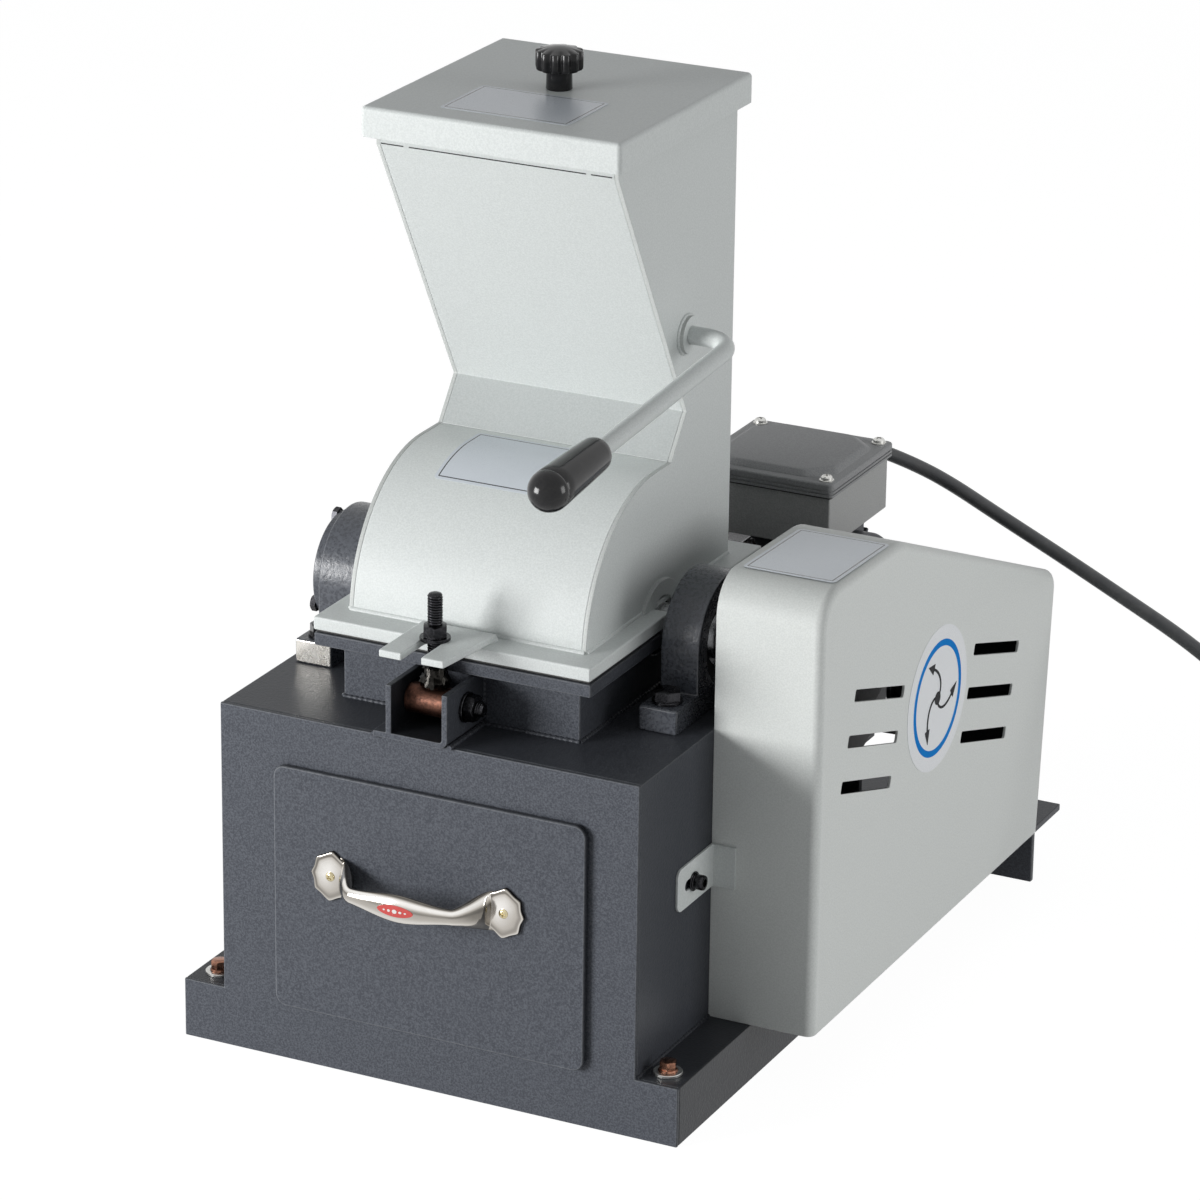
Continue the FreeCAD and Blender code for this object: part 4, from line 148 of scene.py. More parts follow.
def add(tree, kind, sockets=None, **settings):
    """A node with its settings, and with each named socket set or linked."""
    node = tree.nodes.new(kind)
    for key, value in settings.items():
        setattr(node, key, value)
    set_sockets(tree, node, sockets or {})
    return node


def fresh_tree(owner):
    """The owner's node tree, emptied."""
    owner.use_nodes = True
    owner.node_tree.nodes.clear()
    return owner.node_tree


def math_node(tree, operation, first, second=0.0):
    return add(tree, "ShaderNodeMath", {0: first, 1: second}, operation=operation).outputs[0]


def times(tree, first, second):
    return math_node(tree, "MULTIPLY", first, second)


def mix_colour(tree, share, first, second):
    return add(tree, "ShaderNodeMix", {0: share, 6: first, 7: second}, data_type="RGBA").outputs[2]


def ramp_value(tree, value, low, high, to_low=0.0, to_high=1.0):
    return add(tree, "ShaderNodeMapRange", {0: value, 1: low, 2: high, 3: to_low, 4: to_high}).outputs[0]


def noise(tree, vector, size, detail, roughness=0.5, distortion=0.0):
    return add(tree, "ShaderNodeTexNoise", {"Vector": vector, "Scale": size, "Detail": detail,
                                            "Roughness": roughness, "Distortion": distortion}).outputs[0]


def socket_tree(kind, name, inputs, outputs, build):
    """A node group: each input is (name, kind) or (name, kind, value), each output (name, kind)."""
    tree = bpy.data.node_groups.new(name, kind)
    for direction, sockets in (("INPUT", inputs), ("OUTPUT", outputs)):
        for socket_name, socket_kind, *value in sockets:
            socket = tree.interface.new_socket(socket_name, in_out=direction,
                                               socket_type="NodeSocket" + socket_kind)
            if value:
                socket.default_value = value[0]
    given = add(tree, "NodeGroupInput").outputs
    add(tree, "NodeGroupOutput", build(tree, given))
    return tree


def hammer_grain(group, given):
    """The pebbled skin of hammertone paint, with slow changes of shade."""
    place, size = given["Vector"], given["Size"]
    fine = noise(group, place, size, 2.0, distortion=0.4)
    cells = add(group, "ShaderNodeTexVoronoi",
                {"Vector": place, "Scale": times(group, size, 0.55), "Smoothness": 0.6}, feature="SMOOTH_F1")
    slow = noise(group, place, times(group, size, 0.03), 3.0)
    height = math_node(group, "ADD", times(group, fine, 0.7), times(group, cells.outputs[0], 0.5))
    return {"Height": height, "Fleck": ramp_value(group, fine, 0.38, 0.64),
            "Shade": ramp_value(group, slow, 0.3, 0.7)}


def worn_edges(group, given):
    """Lighter rounded edges: where paint or plating is worn thin, and on paint partly a painted highlight along the
    edge.
    """
    patchy = ramp_value(group, noise(group, given["Vector"], given["Size"], 4.0, 0.65), 0.35, 0.60, 0.35, 1.0)
    return {"Mask": times(group, times(group, given["Edge"], patchy), given["Amount"])}


def machined_lines(group, given):
    """Fine scratches drawn out along one direction."""
    stretch = add(group, "ShaderNodeMapping", {"Vector": given["Vector"], "Scale": given["Stretch"]})
    lines = noise(group, stretch.outputs[0], given["Size"], 5.0, 0.7)
    return {"Height": lines, "Streak": ramp_value(group, lines, 0.35, 0.65)}


def grime(group, given):
    """Oil and dust in patches."""
    wide = noise(group, given["Vector"], given["Size"], 5.0, 0.7, 0.8)
    return {"Mask": times(group, ramp_value(group, wide, 0.45, 0.68), given["Amount"])}


GRAIN, WORN_AND_LIT, LINES, GRIME = (
    socket_tree("ShaderNodeTree", name, [("Vector", "Vector")] + inputs,
                [(output, "Float") for output in outputs], build)
    for name, inputs, outputs, build in (
        ("hammer_grain", [("Size", "Float", 900.0)], ("Height", "Fleck", "Shade"), hammer_grain),
        ("worn_edges", [("Edge", "Float", 0.0), ("Size", "Float", 300.0), ("Amount", "Float", 0.5)], ("Mask",),
         worn_edges),
        ("machined_lines", [("Stretch", "Vector", (1, 1, 1)), ("Size", "Float", 400.0)], ("Height", "Streak"),
         machined_lines),
        ("grime", [("Size", "Float", 80.0), ("Amount", "Float", 0.3)], ("Mask",), grime)))


def new_material(name, colour):
    """A material with its shader: (material, tree, shader, object coordinates)."""
    material = bpy.data.materials.new(name)
    tree = fresh_tree(material)
    material.diffuse_color = (*colour, 1)
    shader = add(tree, "ShaderNodeBsdfPrincipled")
    add(tree, "ShaderNodeOutputMaterial", {"Surface": shader.outputs[0]})
    return material, tree, shader, add(tree, "ShaderNodeTexCoord").outputs["Object"]


def effect(tree, group, place, **values):
    """The outputs of a shared effect."""
    return add(tree, "ShaderNodeGroup", {"Vector": place, **values}, node_tree=group).outputs


# Mask of the marked edges: partly wear, partly a painted highlight.
def rubbed_and_lit_edges(tree, place, amount):
    edge = add(tree, "ShaderNodeAttribute", attribute_name="edge", attribute_type="GEOMETRY").outputs["Fac"]
    return effect(tree, WORN_AND_LIT, place, Edge=edge, Amount=amount)["Mask"]


def bump(tree, height, strength, depth):
    return add(tree, "ShaderNodeBump", {"Height": height, "Strength": strength, "Distance": depth}).outputs[0]


def rgba(colour):
    return (*colour, 1.0)


def hammertone(name, colour, pale, dark, size, roughness, depth, edge_amount, edge_colour, shine=0.35, facing_shade=(0, 0)):
    """Hammertone paint: pale and dark flecks in a pebbled skin, lighter at the edges, partly from wear and partly as
    a painted highlight.
    The last argument darkens the faces turned to +X and to +Z: painted shade."""
    material, tree, shader, place = new_material(name, colour)
    grain = effect(tree, GRAIN, place, Size=size)
    flecked = mix_colour(tree, grain["Fleck"], rgba(dark), rgba(pale))
    shaded = mix_colour(tree, ramp_value(tree, grain["Shade"], 0, 1, 0.25, 0.40), flecked, rgba(colour))
    # Marked edges mix towards the edge colour: partly wear, partly a painted highlight.
    edged = mix_colour(tree, rubbed_and_lit_edges(tree, place, edge_amount), shaded, rgba(edge_colour))
    # Painted shade: faces turned to +X and to +Z are mixed towards a near-black colour.
    if any(facing_shade):
        facing = add(tree, "ShaderNodeSeparateXYZ", {0: add(tree, "ShaderNodeTexCoord").outputs["Normal"]}).outputs
        shares = [times(tree, math_node(tree, "MAXIMUM", facing[axis], 0), amount)
                  for axis, amount in zip((0, 2), facing_shade)]
        edged = mix_colour(tree, math_node(tree, "ADD", *shares), edged, FACING_SHADE_COLOUR)
    set_sockets(tree, shader, {
        "Base Color": edged, "Specular IOR Level": shine,
        "Roughness": ramp_value(tree, grain["Fleck"], 0, 1, roughness - 0.05, roughness + 0.06),
        "Normal": bump(tree, grain["Height"], depth, 0.0004)})
    return material


def bare_metal(name, colour, second, roughness, size=350.0, stretch=(1, 1, 1), depth=0.05, edge_amount=0.0,
               edge_colour=(0.6, 0.6, 0.6), grimy=0.0, grime_colour=(0.02, 0.018, 0.015)):
    """Machined, plated or blackened metal, with lines, rubbed edges and some oil."""
    material, tree, shader, place = new_material(name, colour)
    lines = effect(tree, LINES, place, Stretch=stretch, Size=size)
    oily = effect(tree, GRIME, place, Amount=grimy, Size=120.0)["Mask"]
    streaked = mix_colour(tree, lines["Streak"], rgba(colour), rgba(second))
    edged = mix_colour(tree, rubbed_and_lit_edges(tree, place, edge_amount), streaked, rgba(edge_colour))
    set_sockets(tree, shader, {
        "Base Color": mix_colour(tree, oily, edged, rgba(grime_colour)), "Metallic": 1.0,
        "Roughness": ramp_value(tree, lines["Streak"], 0, 1, roughness - 0.04, roughness + 0.08),
        "Normal": bump(tree, lines["Height"], depth, 0.0002)})
    return material


def moulded(name, colour, second, roughness, size=700.0, depth=0.08, coat=0.0, dusty=0.0, shine=0.5):
    """Plastic, rubber or enamel with a little grain, and dust where asked."""
    material, tree, shader, place = new_material(name, colour)
    grain = effect(tree, GRAIN, place, Size=size)
    shaded = mix_colour(tree, grain["Shade"], rgba(colour), rgba(second))
    if dusty:
        shaded = mix_colour(tree, effect(tree, GRIME, place, Amount=dusty)["Mask"], shaded, DUST)
    set_sockets(tree, shader, {
        "Base Color": shaded, "Specular IOR Level": shine, "Coat Weight": coat, "Coat Roughness": 0.05,
        "Roughness": ramp_value(tree, grain["Fleck"], 0, 1, max(roughness - 0.03, 0.02), roughness + 0.05),
        "Normal": bump(tree, grain["Height"], depth, 0.0002)})
    return material


def plated(name, tones, roughness):
    """Bright plating whose colour follows a tone marked on the mesh, 0 dark to 1 bright: painted reflections and
    highlights, under a little haze.
    """
    material, tree, shader, place = new_material(name, tones[-1][1])
    tone = add(tree, "ShaderNodeAttribute", attribute_name="tone").outputs["Fac"]
    haze = effect(tree, GRIME, place, Amount=0.12)["Mask"]
    colour = rgba(tones[0][1])
    for (low, _), (high, after) in zip(tones, tones[1:]):
        colour = mix_colour(tree, ramp_value(tree, tone, low, high), colour, rgba(after))
    set_sockets(tree, shader, {
        "Base Color": mix_colour(tree, haze, colour, HAZE), "Metallic": 1.0,
        "Roughness": ramp_value(tree, haze, 0, 1, roughness, roughness + 0.12)})
    return material


# The first of these colours is the painted shade that the last value of a hammertone mixes into faces turned to +X
# and to +Z.
FACING_SHADE_COLOUR, DUST, HAZE = rgba((0.012, 0.013, 0.015)), rgba((0.30, 0.29, 0.27)), rgba((0.42, 0.40, 0.36))
FINISH = {
    # In each hammertone the colour after the edge amount is the lighter edge colour: partly wear, partly a painted
    # highlight.
    "light_paint": hammertone("light_hammertone", (0.64, 0.67, 0.66), (0.695, 0.725, 0.715), (0.585, 0.615,
        0.605), 950.0, 0.44, 0.22, 0.15, (0.80, 0.82, 0.82), 0.30),
    "dark_paint": hammertone("dark_hammertone", (0.078, 0.085, 0.101), (0.114, 0.123, 0.142), (0.050, 0.054,
        0.066), 850.0, 0.40, 0.42, 0.6, (0.19, 0.20, 0.215), 0.18, (0.5, 0.6)),
    # The base takes a darker copy of the dark paint, with stronger shade on faces turned to +X: painted shade.
    "base_paint": hammertone("base_hammertone", (0.064, 0.069, 0.080), (0.092, 0.099, 0.113), (0.041, 0.044,
        0.052), 850.0, 0.40, 0.42, 0.6, (0.17, 0.175, 0.185), 0.18, (0.74, 0.6)),
    # The guard takes a lighter copy of the light paint, with its top faces darkened: painted light and painted
    # shade.
    "guard_paint": hammertone("guard_hammertone", (0.72, 0.745, 0.725), (0.775, 0.80, 0.78), (0.665, 0.69,
        0.67), 950.0, 0.44, 0.22, 0.15, (0.84, 0.86, 0.85), 0.30, (0, 0.25)),
    # A darker copy of the light paint for the cut edges of the side sheets: painted shade.
    "light_rim": hammertone("light_hammertone_rim", (0.58, 0.605, 0.59), (0.63, 0.65, 0.635), (0.54, 0.56,
        0.545), 950.0, 0.44, 0.22, 0.1, (0.62, 0.64, 0.63), 0.25, (0.2, 0.2)),
    "light_shade": hammertone("light_hammertone_shade", (0.46, 0.485, 0.48), (0.50, 0.525, 0.52), (0.42, 0.445,
        0.44), 950.0, 0.44, 0.22, 0.1, (0.60, 0.62, 0.62), 0.25),
    "bearing_paint": hammertone("bearing_gloss_paint", (0.070, 0.077, 0.092), (0.100, 0.108, 0.126), (0.048,
        0.052, 0.063), 480.0, 0.30, 0.55, 0.2, (0.15, 0.16, 0.17), 0.45, (0.5, 0.25)),
    # A near-black copy of the dark paint: painted shade inside the clamp channel.
    "dark_recess": hammertone("dark_recess", (0.016, 0.017, 0.020), (0.024, 0.026, 0.030), (0.010, 0.011,
        0.013), 850.0, 0.5, 0.3, 0.3, (0.08, 0.085, 0.09), 0.10),
    "motor_paint": hammertone("motor_enamel", (0.072, 0.076, 0.084), (0.095, 0.099, 0.108), (0.055, 0.058,
        0.065), 600.0, 0.44, 0.2, 0.5, (0.17, 0.17, 0.18), 0.15),
    "box_paint": hammertone("box_texture_paint", (0.30, 0.305, 0.31), (0.36, 0.365, 0.37), (0.245, 0.248,
        0.252), 1100.0, 0.5, 0.3, 0.5, (0.46, 0.46, 0.465), 0.2),
    # The box body takes a lighter copy of the box paint: painted light for its lit sides.
    "box_body": hammertone("box_body_paint", (0.42, 0.425, 0.42), (0.48, 0.485, 0.48), (0.36, 0.365, 0.36),
        1100.0, 0.5, 0.3, 0.3, (0.5, 0.5, 0.5), 0.2),
    # Near-black: painted shade on the inside of the guard's sheet.
    "inner_shade": hammertone("inner_primer", (0.022, 0.022, 0.023), (0.03, 0.03, 0.031), (0.016, 0.016, 0.017),
        500.0, 0.8, 0.1, 0.0, (0.03, 0.03, 0.03), 0.1),
    # The chrome's colour runs from dark to bright along the marked tone: painted reflections.
    "chrome": plated("chrome_plate", ((0.0, (0.05, 0.047, 0.043)), (0.35, (0.20, 0.185, 0.165)), (0.65, (0.50,
        0.47, 0.43)), (1.0, (0.92, 0.90, 0.87))), 0.09),
    "zinc": bare_metal("zinc_plate", (0.66, 0.66, 0.64), (0.52, 0.52, 0.50), 0.32, 500.0, (1, 1, 1), 0.06,
        grimy=0.2, grime_colour=(0.30, 0.28, 0.24)),
    "copper_steel": bare_metal("copper_flash", (0.40, 0.20, 0.13), (0.24, 0.115, 0.08), 0.22, 420.0, (1, 1, 1),
        0.2, 0.6, (0.86, 0.66, 0.52), grimy=0.95, grime_colour=(0.045, 0.022, 0.016)),
    "black_steel": bare_metal("blackened_steel", (0.024, 0.024, 0.027), (0.050, 0.050, 0.054), 0.22, 450.0, (1,
        1, 1), 0.12, 0.7, (0.34, 0.34, 0.35), grimy=0.3, grime_colour=(0.01, 0.01, 0.01)),
    "copper_dull": bare_metal("copper_dull", (0.14, 0.065, 0.045), (0.07, 0.036, 0.028), 0.42, 420.0, (1, 1, 1),
        0.25, 0.2, (0.3, 0.17, 0.12), grimy=0.9, grime_colour=(0.012, 0.009, 0.008)),
    "steel": bare_metal("machined_steel", (0.56, 0.57, 0.58), (0.44, 0.45, 0.46), 0.27, 300.0, (5, 1, 1), 0.08,
        grimy=0.35, grime_colour=(0.16, 0.15, 0.14)),
    "bearing_steel": bare_metal("ground_steel", (0.60, 0.61, 0.62), (0.52, 0.53, 0.54), 0.18, 500.0, (6, 1, 1),
        0.04, grimy=0.2),
    "cast": bare_metal("cast_iron", (0.19, 0.19, 0.20), (0.13, 0.13, 0.135), 0.48, 380.0, (1, 1, 1), 0.25, 0.3,
        (0.4, 0.4, 0.4), grimy=0.4),
    "gasket": moulded("gasket_rubber", (0.030, 0.030, 0.030), (0.045, 0.045, 0.045), 0.75, dusty=0.15),
    "belt": moulded("belt_rubber", (0.028, 0.028, 0.030), (0.045, 0.045, 0.045), 0.65, 420.0, 0.2, dusty=0.35),
    "black_plastic": moulded("gloss_phenolic", (0.006, 0.006, 0.007), (0.012, 0.012, 0.013), 0.14, 300.0, 0.03,
        dusty=0.04, shine=0.30),
    "nylon": moulded("black_nylon", (0.030, 0.030, 0.033), (0.050, 0.050, 0.053), 0.42, 500.0, 0.06, dusty=0.1),
    "cord": moulded("cord_rubber", (0.060, 0.063, 0.067), (0.095, 0.098, 0.103), 0.42, 600.0, 0.08, dusty=0.15),
    "bright": bare_metal("bare_steel", (0.80, 0.78, 0.74), (0.60, 0.58, 0.54), 0.24, 260.0, (1, 6, 1), 0.10,
        grimy=0.35, grime_colour=(0.25, 0.20, 0.14)),
    "brass": bare_metal("yellow_zinc", (0.70, 0.62, 0.40), (0.55, 0.47, 0.28), 0.25, 500.0, grimy=0.4),
    "grease": bare_metal("greased_steel", (0.010, 0.010, 0.009), (0.030, 0.028, 0.026), 0.10, 420.0, (1, 1, 1),
        1.0, 0.3, (0.1, 0.09, 0.08), grimy=0.3),
    "enamel": moulded("red_enamel", (0.50, 0.035, 0.030), (0.60, 0.060, 0.050), 0.18, coat=0.5),
    "enamel_dot": moulded("white_enamel", (0.78, 0.76, 0.74), (0.70, 0.68, 0.66), 0.22, coat=0.4),
    "label": moulded("label_film", (0.60, 0.64, 0.685), (0.59, 0.63, 0.675), 0.30, 3000.0, 0.0),
    "label_line": moulded("label_border", (0.030, 0.033, 0.040), (0.050, 0.053, 0.06), 0.30),
    "disc_film": moulded("disc_film", (0.80, 0.82, 0.84), (0.79, 0.81, 0.83), 0.30, 3000.0, 0.0),
    "disc_blue": moulded("disc_blue", (0.0, 0.20, 0.62), (0.0, 0.215, 0.65), 0.6, 3000.0, 0.0, shine=0.08),
    "disc_ink": moulded("disc_ink", (0.014, 0.014, 0.016), (0.022, 0.022, 0.024), 0.6, shine=0.1),
    "shadow_gap": moulded("dark_gap", (0.010, 0.010, 0.011), (0.016, 0.016, 0.017), 0.8),
}


# Pieces
def place(piece, body, slot=None, *stands_for):
    """Sets a finished piece on its body and hides the nodes it stands for; the finish slot is not used."""
    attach(piece, body)
    if stands_for:
        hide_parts(*stands_for)
    return piece


def from_bmesh(name, shape, finish, smooth=35):
    mesh = bpy.data.meshes.new(name)
    shape.to_mesh(mesh)
    shape.free()
    return from_mesh(name, mesh, finish, smooth)


def shade(mesh, angle):
    """Smooth, but for edges sharper than the angle."""
    mesh.shade_smooth()
    mesh.set_sharp_from_angle(angle=radians(angle))


def from_mesh(name, mesh, finish, smooth=35):
    mesh.name = name
    if finish:
        mesh.materials.clear()
        mesh.materials.append(FINISH[finish])
    if smooth:
        shade(mesh, smooth)
    return linked(name, mesh)


def baked(piece):
    """The piece with its modifiers made into plain mesh."""
    graph = bpy.context.evaluated_depsgraph_get()
    mesh = bpy.data.meshes.new_from_object(piece.evaluated_get(graph), depsgraph=graph)
    name = piece.name
    old = piece.data
    bpy.data.objects.remove(piece)
    if old.users == 0:
        (bpy.data.curves if isinstance(old, bpy.types.Curve) else bpy.data.meshes).remove(old)
    mesh.name = name
    return linked(name, mesh)


def soften(piece, width, segments=2, angle=32):
    """Rounds the edges sharper than the angle, marks them for the paint, and shades the piece smooth."""
    count = len(piece.data.materials)
    piece.data.materials.append(piece.data.materials[0])
    modifier = piece.modifiers.new("round", "BEVEL")
    modifier.material = count
    modifier.width = mm(width)
    modifier.segments = segments
    modifier.limit_method = "ANGLE"
    modifier.angle_limit = radians(angle)
    modifier.use_clamp_overlap = False
    made = baked(piece)
    mesh = made.data
    mark = mesh.attributes.new("edge", "FLOAT", "CORNER")
    for face in mesh.polygons:
        if face.material_index == count:
            face.material_index = 0
            for corner in face.loop_indices:
                mark.data[corner].value = 1.0
    mesh.materials.pop(index=count)
    shade(mesh, angle + 8)
    even = made.modifiers.new("even", "WEIGHTED_NORMAL")
    even.keep_sharp = True
    even.weight = 90
    return baked(made)


def node_shape(node):
    """A copy of a node's mesh as one merged shape without needless edges."""
    shape = bmesh.new()
    shape.from_mesh(nodes[node].data)
    bmesh.ops.remove_doubles(shape, verts=shape.verts, dist=1e-6)
    bmesh.ops.dissolve_limit(shape, angle_limit=radians(0.4), verts=shape.verts, edges=shape.edges)
    return shape


def dress(node, width, segments=2, finish=None):
    """The node's own shape with rounded edges and its finish."""
    piece = from_bmesh(node + "_finished", node_shape(node), finish or node_slot[node], 0)
    if width:
        piece = soften(piece, width, segments)
    else:
        shade(piece.data, 35)
    return place(piece, node_body[node], node_slot[node], node)


def rings_mesh(name, rings, finish, smooth=35, caps=True):
    """A skin over rings of points with the same count, with flat or pointed ends."""
    shape = bmesh.new()
    rows = [[shape.verts.new(point) for point in ring] for ring in rings]
    count = len(rows[0])
    for low, high in zip(rows, rows[1:]):
        for index in range(count):
            following = (index + 1) % count
            shape.faces.new((low[index], low[following], high[following], high[index]))
    if caps:
        shape.faces.new(rows[0][::-1])
        shape.faces.new(rows[-1])
    bmesh.ops.remove_doubles(shape, verts=shape.verts, dist=1e-7)
    bmesh.ops.recalc_face_normals(shape, faces=shape.faces)
    return from_bmesh(name, shape, finish, smooth)


def axes_for(axis):
    side = (Z if abs(axis.z) < 0.9 else X).cross(axis).normalized()
    return side, axis.cross(side).normalized()


def turned(name, start, axis, profile, finish, steps=48, smooth=35, wave=None, caps=True):
    """A turned piece: profile is (distance along the axis, radius). wave(angle, along) scales the radius."""
    side, other = axes_for(axis)
    rings = []
    for along, radius in profile:
        ring = []
        for angle in around(steps):
            reach = mm(radius * (wave(angle, along) if wave else 1))
            ring.append(start + axis * mm(along) + side * (reach * cos(angle)) + other * (reach * sin(angle)))
        rings.append(ring)
    return rings_mesh(name, rings, finish, smooth, caps=caps)


def hollow_turned(name, start, axis, profile, finish, steps=48):
    """A turned ring: the profile closes on itself."""
    return turned(name, start, axis, profile + profile[:1], finish, steps, 30, caps=False)


def hexagon_piece(name, start, axis, height, flats, finish, both_ends=False, turn=0.0):
    """A hexagon head or nut with its corners turned down."""
    side, other = axes_for(axis)
    inner = flats / 2
    flat_end = inner * 0.96

    def reach(angle):
        return inner / cos((angle + pi / 6) % (pi / 3) - pi / 6)

    def ring(radius_of, along_of):
        points = []
        for angle in around(48):
            radius = mm(radius_of(angle))
            points.append(start + axis * mm(along_of(angle)) + side * (radius * cos(angle + turn)) +
                          other * (radius * sin(angle + turn)))
        return points

    def drop(angle):
        return (reach(angle) - flat_end) * 0.5

    if both_ends:
        rings = [ring(lambda angle: flat_end, lambda angle: 0), ring(reach, drop)]
    else:
        rings = [ring(reach, lambda angle: 0)]
    rings += [ring(reach, lambda angle: height - drop(angle)), ring(lambda angle: flat_end, lambda angle: height)]
    return rings_mesh(name, rings, finish, 28)


def joined(name, pieces):
    """Several pieces made one, materials kept."""
    shape = bmesh.new()
    materials = []
    for piece in pieces:
        mesh = piece.data
        start = len(shape.faces)
        shape.from_mesh(mesh)
        shape.faces.ensure_lookup_table()
        places = []
        for material in mesh.materials:
            if material not in materials:
                materials.append(material)
            places.append(materials.index(material))
        for face in shape.faces[start:]:
            face.material_index = places[face.material_index]
    made = bpy.data.meshes.new(name)
    shape.to_mesh(made)
    shape.free()
    for piece in pieces:
        discard(piece)
    for material in materials:
        made.materials.append(material)
    return linked(name, made)


def fitted(node, pieces, name=None):
    """The pieces as one, in the node's place."""
    place(joined(name or node + "_finished", pieces), node_body[node], node_slot[node], node)


# Geometry node trees for what repeats
def geometry_tree(name, inputs, build):
    geometry = ("Geometry", "Geometry")
    tree = socket_tree("GeometryNodeTree", name, [geometry] + inputs, [geometry], build)
    tree.is_modifier = True
    return tree


def run_tree(piece, tree, values):
    """Runs a tree on a piece with its inputs set, and makes the result plain mesh."""
    modifier = piece.modifiers.new(tree.name, "NODES")
    modifier.node_group = tree
    names = {item.name: item.identifier for item in tree.interface.items_tree if item.in_out == "INPUT"}
    for key, value in values.items():
        modifier[names[key]] = value
    return baked(piece)


def real_geometry(tree, geometry, finish):
    """The end of every tree: real geometry with its finish."""
    real = add(tree, "GeometryNodeRealizeInstances", {0: geometry})
    done = add(tree, "GeometryNodeSetMaterial", {"Geometry": real.outputs[0], "Material": finish})
    return {"Geometry": done.outputs[0]}


def copies_tree(tree, given):
    """A copy of the shape on each point, its Z turned along the point's axis."""
    axis = add(tree, "GeometryNodeInputNamedAttribute", {"Name": "axis"}, data_type="FLOAT_VECTOR")
    chance = add(tree, "FunctionNodeRandomValue", {2: 0.0, 3: given["Turn spread"], "Seed": given["Seed"]},
                 data_type="FLOAT")
    facing = add(tree, "FunctionNodeAlignRotationToVector", {"Vector": axis.outputs[0]}, axis="Z")
    spin = add(tree, "FunctionNodeAxisAngleToRotation", {"Axis": (0, 0, 1), "Angle": chance.outputs[1]})
    both = add(tree, "FunctionNodeRotateRotation", {0: facing.outputs[0], 1: spin.outputs[0]},
               rotation_space="LOCAL")
    shape = add(tree, "GeometryNodeObjectInfo", {"Object": given["Shape"]}, transform_space="ORIGINAL")
    points = add(tree, "GeometryNodeMeshToPoints", {"Mesh": given["Geometry"]})
    copies = add(tree, "GeometryNodeInstanceOnPoints",
                 {"Points": points.outputs[0], "Instance": shape.outputs["Geometry"],
                  "Rotation": both.outputs[0]})
    return real_geometry(tree, copies.outputs[0], given["Finish"])


COPIES = geometry_tree("fastener_copies", [("Shape", "Object"), ("Finish", "Material"),
                                           ("Turn spread", "Float", 1.0), ("Seed", "Int", 3)], copies_tree)


def copies(name, shape, places, axis, finish, spread=1.0, seed=3):
    """Copies of a shape, drawn round the origin along Z, on places that all face along the axis."""
    mesh = bpy.data.meshes.new(name)
    mesh.from_pydata(places, [], [])
    facing = mesh.attributes.new("axis", "FLOAT_VECTOR", "POINT")
    for item in facing.data:
        item.vector = axis
    made = run_tree(linked(name, mesh), COPIES, {"Shape": shape, "Finish": FINISH[finish],
                                                 "Turn spread": spread, "Seed": seed})
    discard(shape)
    made.data.set_sharp_from_angle(angle=radians(30))
    return made


def thread_tree(tree, given):
    """A screw thread: a three-sided rib wound round Z."""
    turns = math_node(tree, "DIVIDE", given["Length"], given["Pitch"])
    spiral = add(tree, "GeometryNodeCurveSpiral", {"Resolution": 28, "Rotations": turns,
                                                   "Start Radius": given["Radius"],
                                                   "End Radius": given["Radius"], "Height": given["Length"]})
    rib = add(tree, "GeometryNodeCurvePrimitiveCircle", {"Resolution": 4, "Radius": given["Rib"]})
    wound = add(tree, "GeometryNodeCurveToMesh", {"Curve": spiral.outputs[0], "Profile Curve": rib.outputs[0],
                                                  "Fill Caps": True})
    return real_geometry(tree, wound.outputs[0], given["Finish"])


THREAD = geometry_tree("screw_thread", [("Radius", "Float", 0.0048), ("Pitch", "Float", 0.0015),
                                        ("Length", "Float", 0.05), ("Rib", "Float", 0.0006),
                                        ("Finish", "Material")], thread_tree)


def thread(name, start, axis, length, radius, pitch, finish):
    carrier = linked(name, bpy.data.meshes.new(name))
    made = run_tree(carrier, THREAD, {"Radius": mm(radius), "Pitch": mm(pitch), "Length": mm(length),
                                      "Rib": mm(pitch * 0.42), "Finish": FINISH[finish]})
    turn = axis.to_track_quat("Z", "Y").to_matrix().to_4x4()
    made.data.transform(Matrix.Translation(start) @ turn)
    return made


def weld_tree(tree, given):
    """A weld bead along a line: a round bead whose radius ripples at a steady pitch."""
    curve = add(tree, "GeometryNodeMeshToCurve", {"Mesh": given["Geometry"]})
    step = times(tree, given["Pitch"], 0.25)
    fine = add(tree, "GeometryNodeResampleCurve", {"Curve": curve.outputs[0], "Length": step}, mode="LENGTH")
    along = add(tree, "GeometryNodeSplineParameter").outputs["Length"]
    wave = math_node(tree, "SINE", math_node(tree, "DIVIDE", times(tree, along, 6.2832), given["Pitch"]))
    chance = add(tree, "FunctionNodeRandomValue", {2: -0.5, 3: 0.5, "Seed": given["Seed"]}, data_type="FLOAT")
    uneven = math_node(tree, "ADD", wave, chance.outputs[1])
    radius = times(tree, given["Radius"], math_node(tree, "ADD", 1.0, times(tree, uneven, given["Ripple"])))
    shaped = add(tree, "GeometryNodeSetCurveRadius", {"Curve": fine.outputs[0], "Radius": radius})
    rim = add(tree, "GeometryNodeCurvePrimitiveCircle", {"Resolution": 10, "Radius": 1.0})
    bead = add(tree, "GeometryNodeCurveToMesh", {"Curve": shaped.outputs[0], "Profile Curve": rim.outputs[0],
                                                 "Fill Caps": True})
    if "Scale" in bead.inputs:
        tree.links.new(radius, bead.inputs["Scale"])
    return real_geometry(tree, bead.outputs[0], given["Finish"])


WELD = geometry_tree("weld_bead", [("Radius", "Float", 0.0016), ("Ripple", "Float", 0.12),
                                   ("Pitch", "Float", 0.003), ("Seed", "Int", 5),
                                   ("Finish", "Material")], weld_tree)


